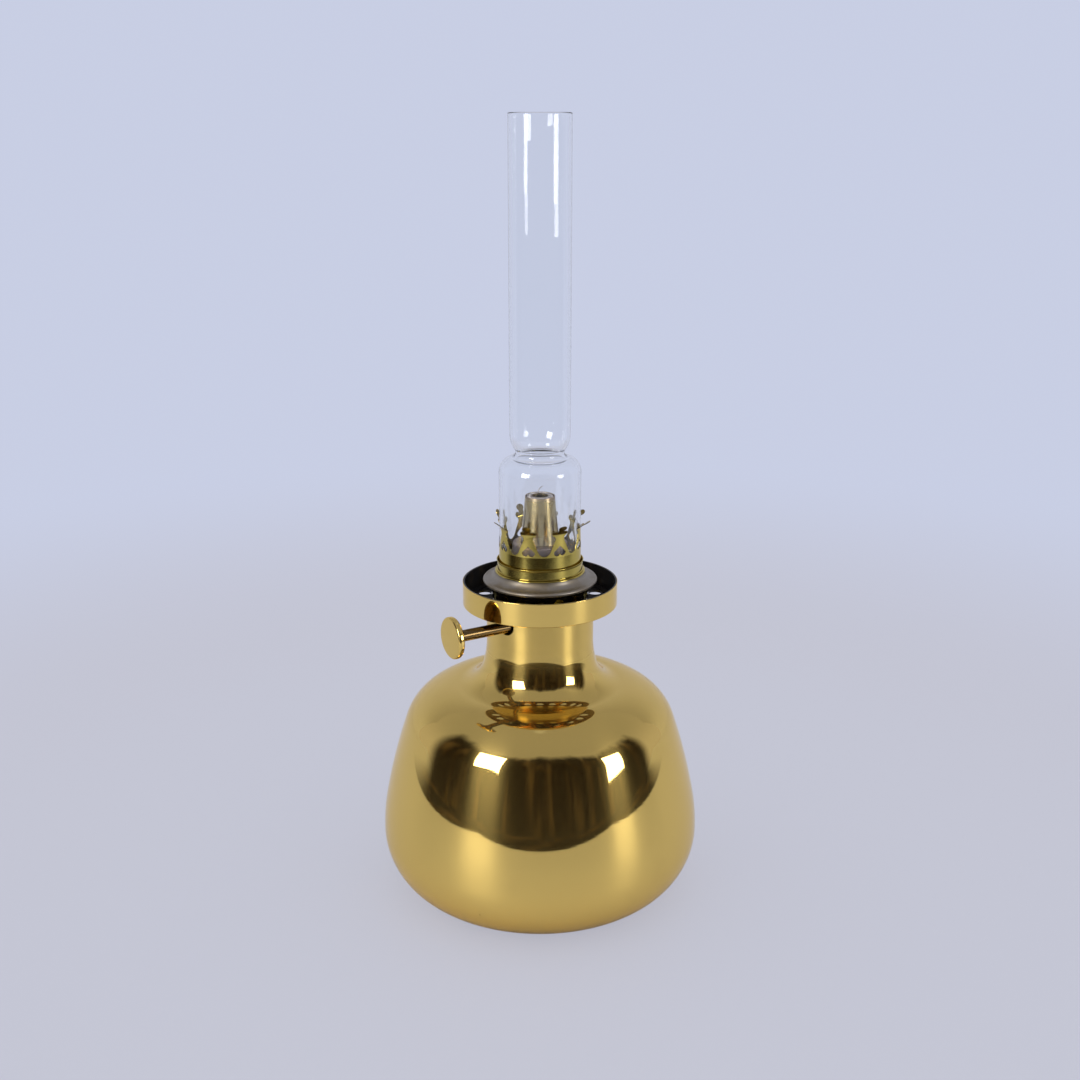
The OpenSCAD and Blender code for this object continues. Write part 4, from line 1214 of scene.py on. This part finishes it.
class LampSetStage(bpy.types.Operator):
    """Set up floor, backdrop, lights and camera"""

    bl_idname = "lamp.stage"
    bl_label = "Stage"

    # Distances between which the floor's shading ends, and between which the floor turns into the backdrop
    SHADOW_END = (0.16, 0.45)
    FLOOR_END = (0.3, 0.8)
    # Heights on the paper, and rises in the sky, between which what the metal mirrors turns into the ceiling
    PAPER_TO_CEILING = (0.3, 1.5)
    SKY_TO_CEILING = (0.1, 0.8)
    NEAR_CLIP = 0.01
    FLAG_LIFT = 0.5 * MM

    def execute(self, context):
        stage = context.scene.lamp_stage
        context.scene.view_settings.view_transform = "Standard"
        self.facing = Matrix.Rotation(stage.view_turn, 4, "Z")
        self.camera(context, stage)
        self.paper(context, stage)
        self.flags(context, stage)
        self.world(context, stage)
        for side in ("left", "right"):
            self.softbox(context, stage, side)
        return {"FINISHED"}

    def camera(self, context, stage):
        """Camera in front of the lamp, a little above it."""
        data = bpy.data.cameras.new("camera")
        data.lens = stage.lens
        data.clip_start = self.NEAR_CLIP
        camera = bpy.data.objects.new("camera", data)
        context.scene.collection.objects.link(camera)
        camera.location = self.facing @ Vector((0, -stage.view_distance, stage.view_height))
        camera.rotation_euler = (QUARTER_TURN - stage.view_drop, 0, stage.view_turn)
        context.scene.camera = camera

    def paper(self, context, stage):
        """Floor that sweeps up behind the lamp."""
        half, back, sweep = stage.paper_half, stage.paper_back, stage.paper_sweep
        pen = Outline(-half, 0)
        pen.line_to(back, 0).bend(sweep, QUARTER_TURN).line_to(back + sweep, stage.paper_rise)
        mesh = pen.mesh
        across = Matrix.Rotation(QUARTER_TURN, 3, "Z")
        bmesh.ops.rotate(mesh, verts=mesh.verts, cent=(0, 0, 0), matrix=across)
        bmesh.ops.translate(mesh, verts=mesh.verts, vec=(-half, 0, 0))
        side = bmesh.ops.extrude_edge_only(mesh, edges=mesh.edges[:])["geom"]
        bmesh.ops.translate(mesh, verts=points_of(side), vec=(2 * half, 0, 0))
        bmesh.ops.transform(mesh, matrix=self.facing, verts=mesh.verts)
        bmesh.ops.recalc_face_normals(mesh, faces=mesh.faces)
        if mesh.faces[:][0].normal.z < 0:
            bmesh.ops.reverse_faces(mesh, faces=mesh.faces)
        paper = to_object(context, "paper", mesh)
        paper.data.shade_smooth()
        paper.data.materials.append(new_material("paper", self.paper_surface, stage))

    def paper_surface(self, at, stage):
        """Lit paper that blends into an even backdrop away from the lamp."""
        mottle = noise(at, scale=14, detail=4)
        base = mix(mottle * 0.08, stage.paper, stage.mottle)
        lit = surface(base, 0.55, bump(mottle, 0.4 * MM, 0.3))
        away = from_axis(at)
        outside_shadow = between(away, *self.SHADOW_END)
        plain_share = seen(at) * (1 - stage.shadow_share + outside_shadow * stage.shadow_share)
        high_share = mirrored(at) * between(split(at)[2], *self.PAPER_TO_CEILING)
        shade = mix(between(away, *self.FLOOR_END), stage.floor, stage.behind)
        shade = mix(mirrored(at), shade, stage.ceiling)
        return blend(plain_share + high_share, lit, glow(shade))

    def flags(self, context, stage):
        """Dark flags round the front, which only the mirror of the metal shows."""
        pen = Outline(-stage.flag_left, stage.flag_end)
        pen.line_to(-stage.flag_left, -stage.flag_front).line_to(stage.flag_right, -stage.flag_front)
        mesh = pen.line_to(stage.flag_right, stage.flag_end).mesh
        flat = Matrix.Rotation(-QUARTER_TURN, 3, "X")
        bmesh.ops.rotate(mesh, verts=mesh.verts, cent=(0, 0, 0), matrix=flat)
        bmesh.ops.translate(mesh, verts=mesh.verts, vec=(0, 0, self.FLAG_LIFT))
        outer, outer_edges = self.pull(mesh, mesh.edges[:])
        bmesh.ops.scale(mesh, verts=outer, vec=(stage.flag_spread, stage.flag_spread, 1))
        upper = self.pull(mesh, outer_edges)[0]
        bmesh.ops.translate(mesh, verts=upper, vec=(0, 0, stage.flag_height))
        bmesh.ops.transform(mesh, matrix=self.facing, verts=mesh.verts)
        flags = to_object(context, "dark_flags", mesh)
        flags.data.materials.append(new_material("dark_flags", self.flag_surface, stage))
        flags.visible_camera = False
        flags.visible_diffuse = False
        flags.visible_transmission = False
        flags.visible_shadow = False

    def pull(self, mesh, edges):
        """Draws new edges out of a row of edges, and gives their points and themselves."""
        made = bmesh.ops.extrude_edge_only(mesh, edges=edges)["geom"]
        points = points_of(made)
        lines = [part for part in made if isinstance(part, bmesh.types.BMEdge)]
        return points, [line for line in lines if set(line.verts) <= set(points)]

    def flag_surface(self, at, stage):
        """Dark folds that fade out above and at both ends."""
        back = self.facing.col[1].xyz
        depth = at.node(
            "ShaderNodeVectorMath", {"operation": "DOT_PRODUCT"}, {0: at, 1: tuple(back)}, output="Value")
        drape = noise(stretched(at, (1, 1, 0.3)), scale=3.5, detail=3)
        height = split(at)[2] + (drape - 0.5) * stage.flag_drape
        high = between(height, stage.flag_fade, stage.flag_height)
        end = between(depth, stage.flag_end - stage.flag_end_fade, stage.flag_end)
        shade = mix(between(drape, 0.45, 0.75), stage.flag_dark, stage.flag_light)
        clear = at.node("ShaderNodeBsdfTransparent")
        return blend(at.maths("MAXIMUM", high, end), glow(shade), clear)

    def world(self, context, stage):
        """Even light from all round, behind which the camera sees the backdrop."""
        world = bpy.data.worlds.new("studio")
        world.use_nodes = True
        world.node_tree.nodes.clear()
        world.cycles.sampling_method = "NONE"
        context.scene.world = world
        tree = Value(world.node_tree)
        at = tree.node("ShaderNodeTexCoord", output="Generated")
        rise = split(at)[2]
        overhead = mix(between(rise, *self.SKY_TO_CEILING), stage.floor, stage.ceiling)
        shade = mix(mirrored(at), stage.sky, overhead)
        shade = mix(seen(at), shade, stage.behind)
        light = tree.node("ShaderNodeBackground", None, {"Color": shade, "Strength": 1.0})
        tree.node("ShaderNodeOutputWorld", None, {"Surface": light})

    def softbox(self, context, stage, side):
        """A rectangular soft light that faces the lamp."""
        turn, rise, size, power = (
            getattr(stage, f"{side}_{setting}") for setting in ("turn", "rise", "size", "power"))
        data = bpy.data.lights.new(f"softbox_{side}", "AREA")
        data.shape = "RECTANGLE"
        data.size, data.size_y = size
        data.energy = power
        light = bpy.data.objects.new(data.name, data)
        context.scene.collection.objects.link(light)
        out = Vector((math.sin(turn) * math.cos(rise), -math.cos(turn) * math.cos(rise), math.sin(rise)))
        light.location = Vector((0, 0, stage.light_aim)) + self.facing @ out * stage.light_distance
        light.rotation_euler = (self.facing.to_3x3() @ out).to_track_quat("Z", "Y").to_euler()
        light.visible_diffuse = False


class LampPanel(bpy.types.Panel):
    """Lists the steps that dress the lamp"""

    bl_idname = "VIEW3D_PT_lamp"
    bl_label = "Kerosene lamp"
    bl_space_type = "VIEW_3D"
    bl_region_type = "UI"
    bl_category = "Lamp"

    def draw(self, context):
        for step in STEPS:
            self.layout.operator(step.bl_idname)
        for group in SETTINGS:
            settings = getattr(context.scene, group)
            box = self.layout.box()
            for name in settings.__annotations__:
                box.prop(settings, name)


STEPS = (
    LampSetStage, LampBody, LampRing, LampSkirt, LampWickTube, LampCrown, LampChimney, LampWinder, LampWick,
    LampFittings)
SETTINGS = {"lamp_shape": LampShape, "lamp_finish": LampFinish, "lamp_stage": LampStage}


def register():
    for name, settings in SETTINGS.items():
        bpy.utils.register_class(settings)
        setattr(bpy.types.Scene, name, PointerProperty(type=settings))
    for item in (*STEPS, LampPanel):
        bpy.utils.register_class(item)


def unregister():
    for item in reversed((*STEPS, LampPanel)):
        bpy.utils.unregister_class(item)
    for name, settings in SETTINGS.items():
        delattr(bpy.types.Scene, name)
        bpy.utils.unregister_class(settings)


def main():
    register()
    for step in STEPS:
        group, name = step.bl_idname.split(".")
        getattr(getattr(bpy.ops, group), name)()


if __name__ == "__main__":
    main()
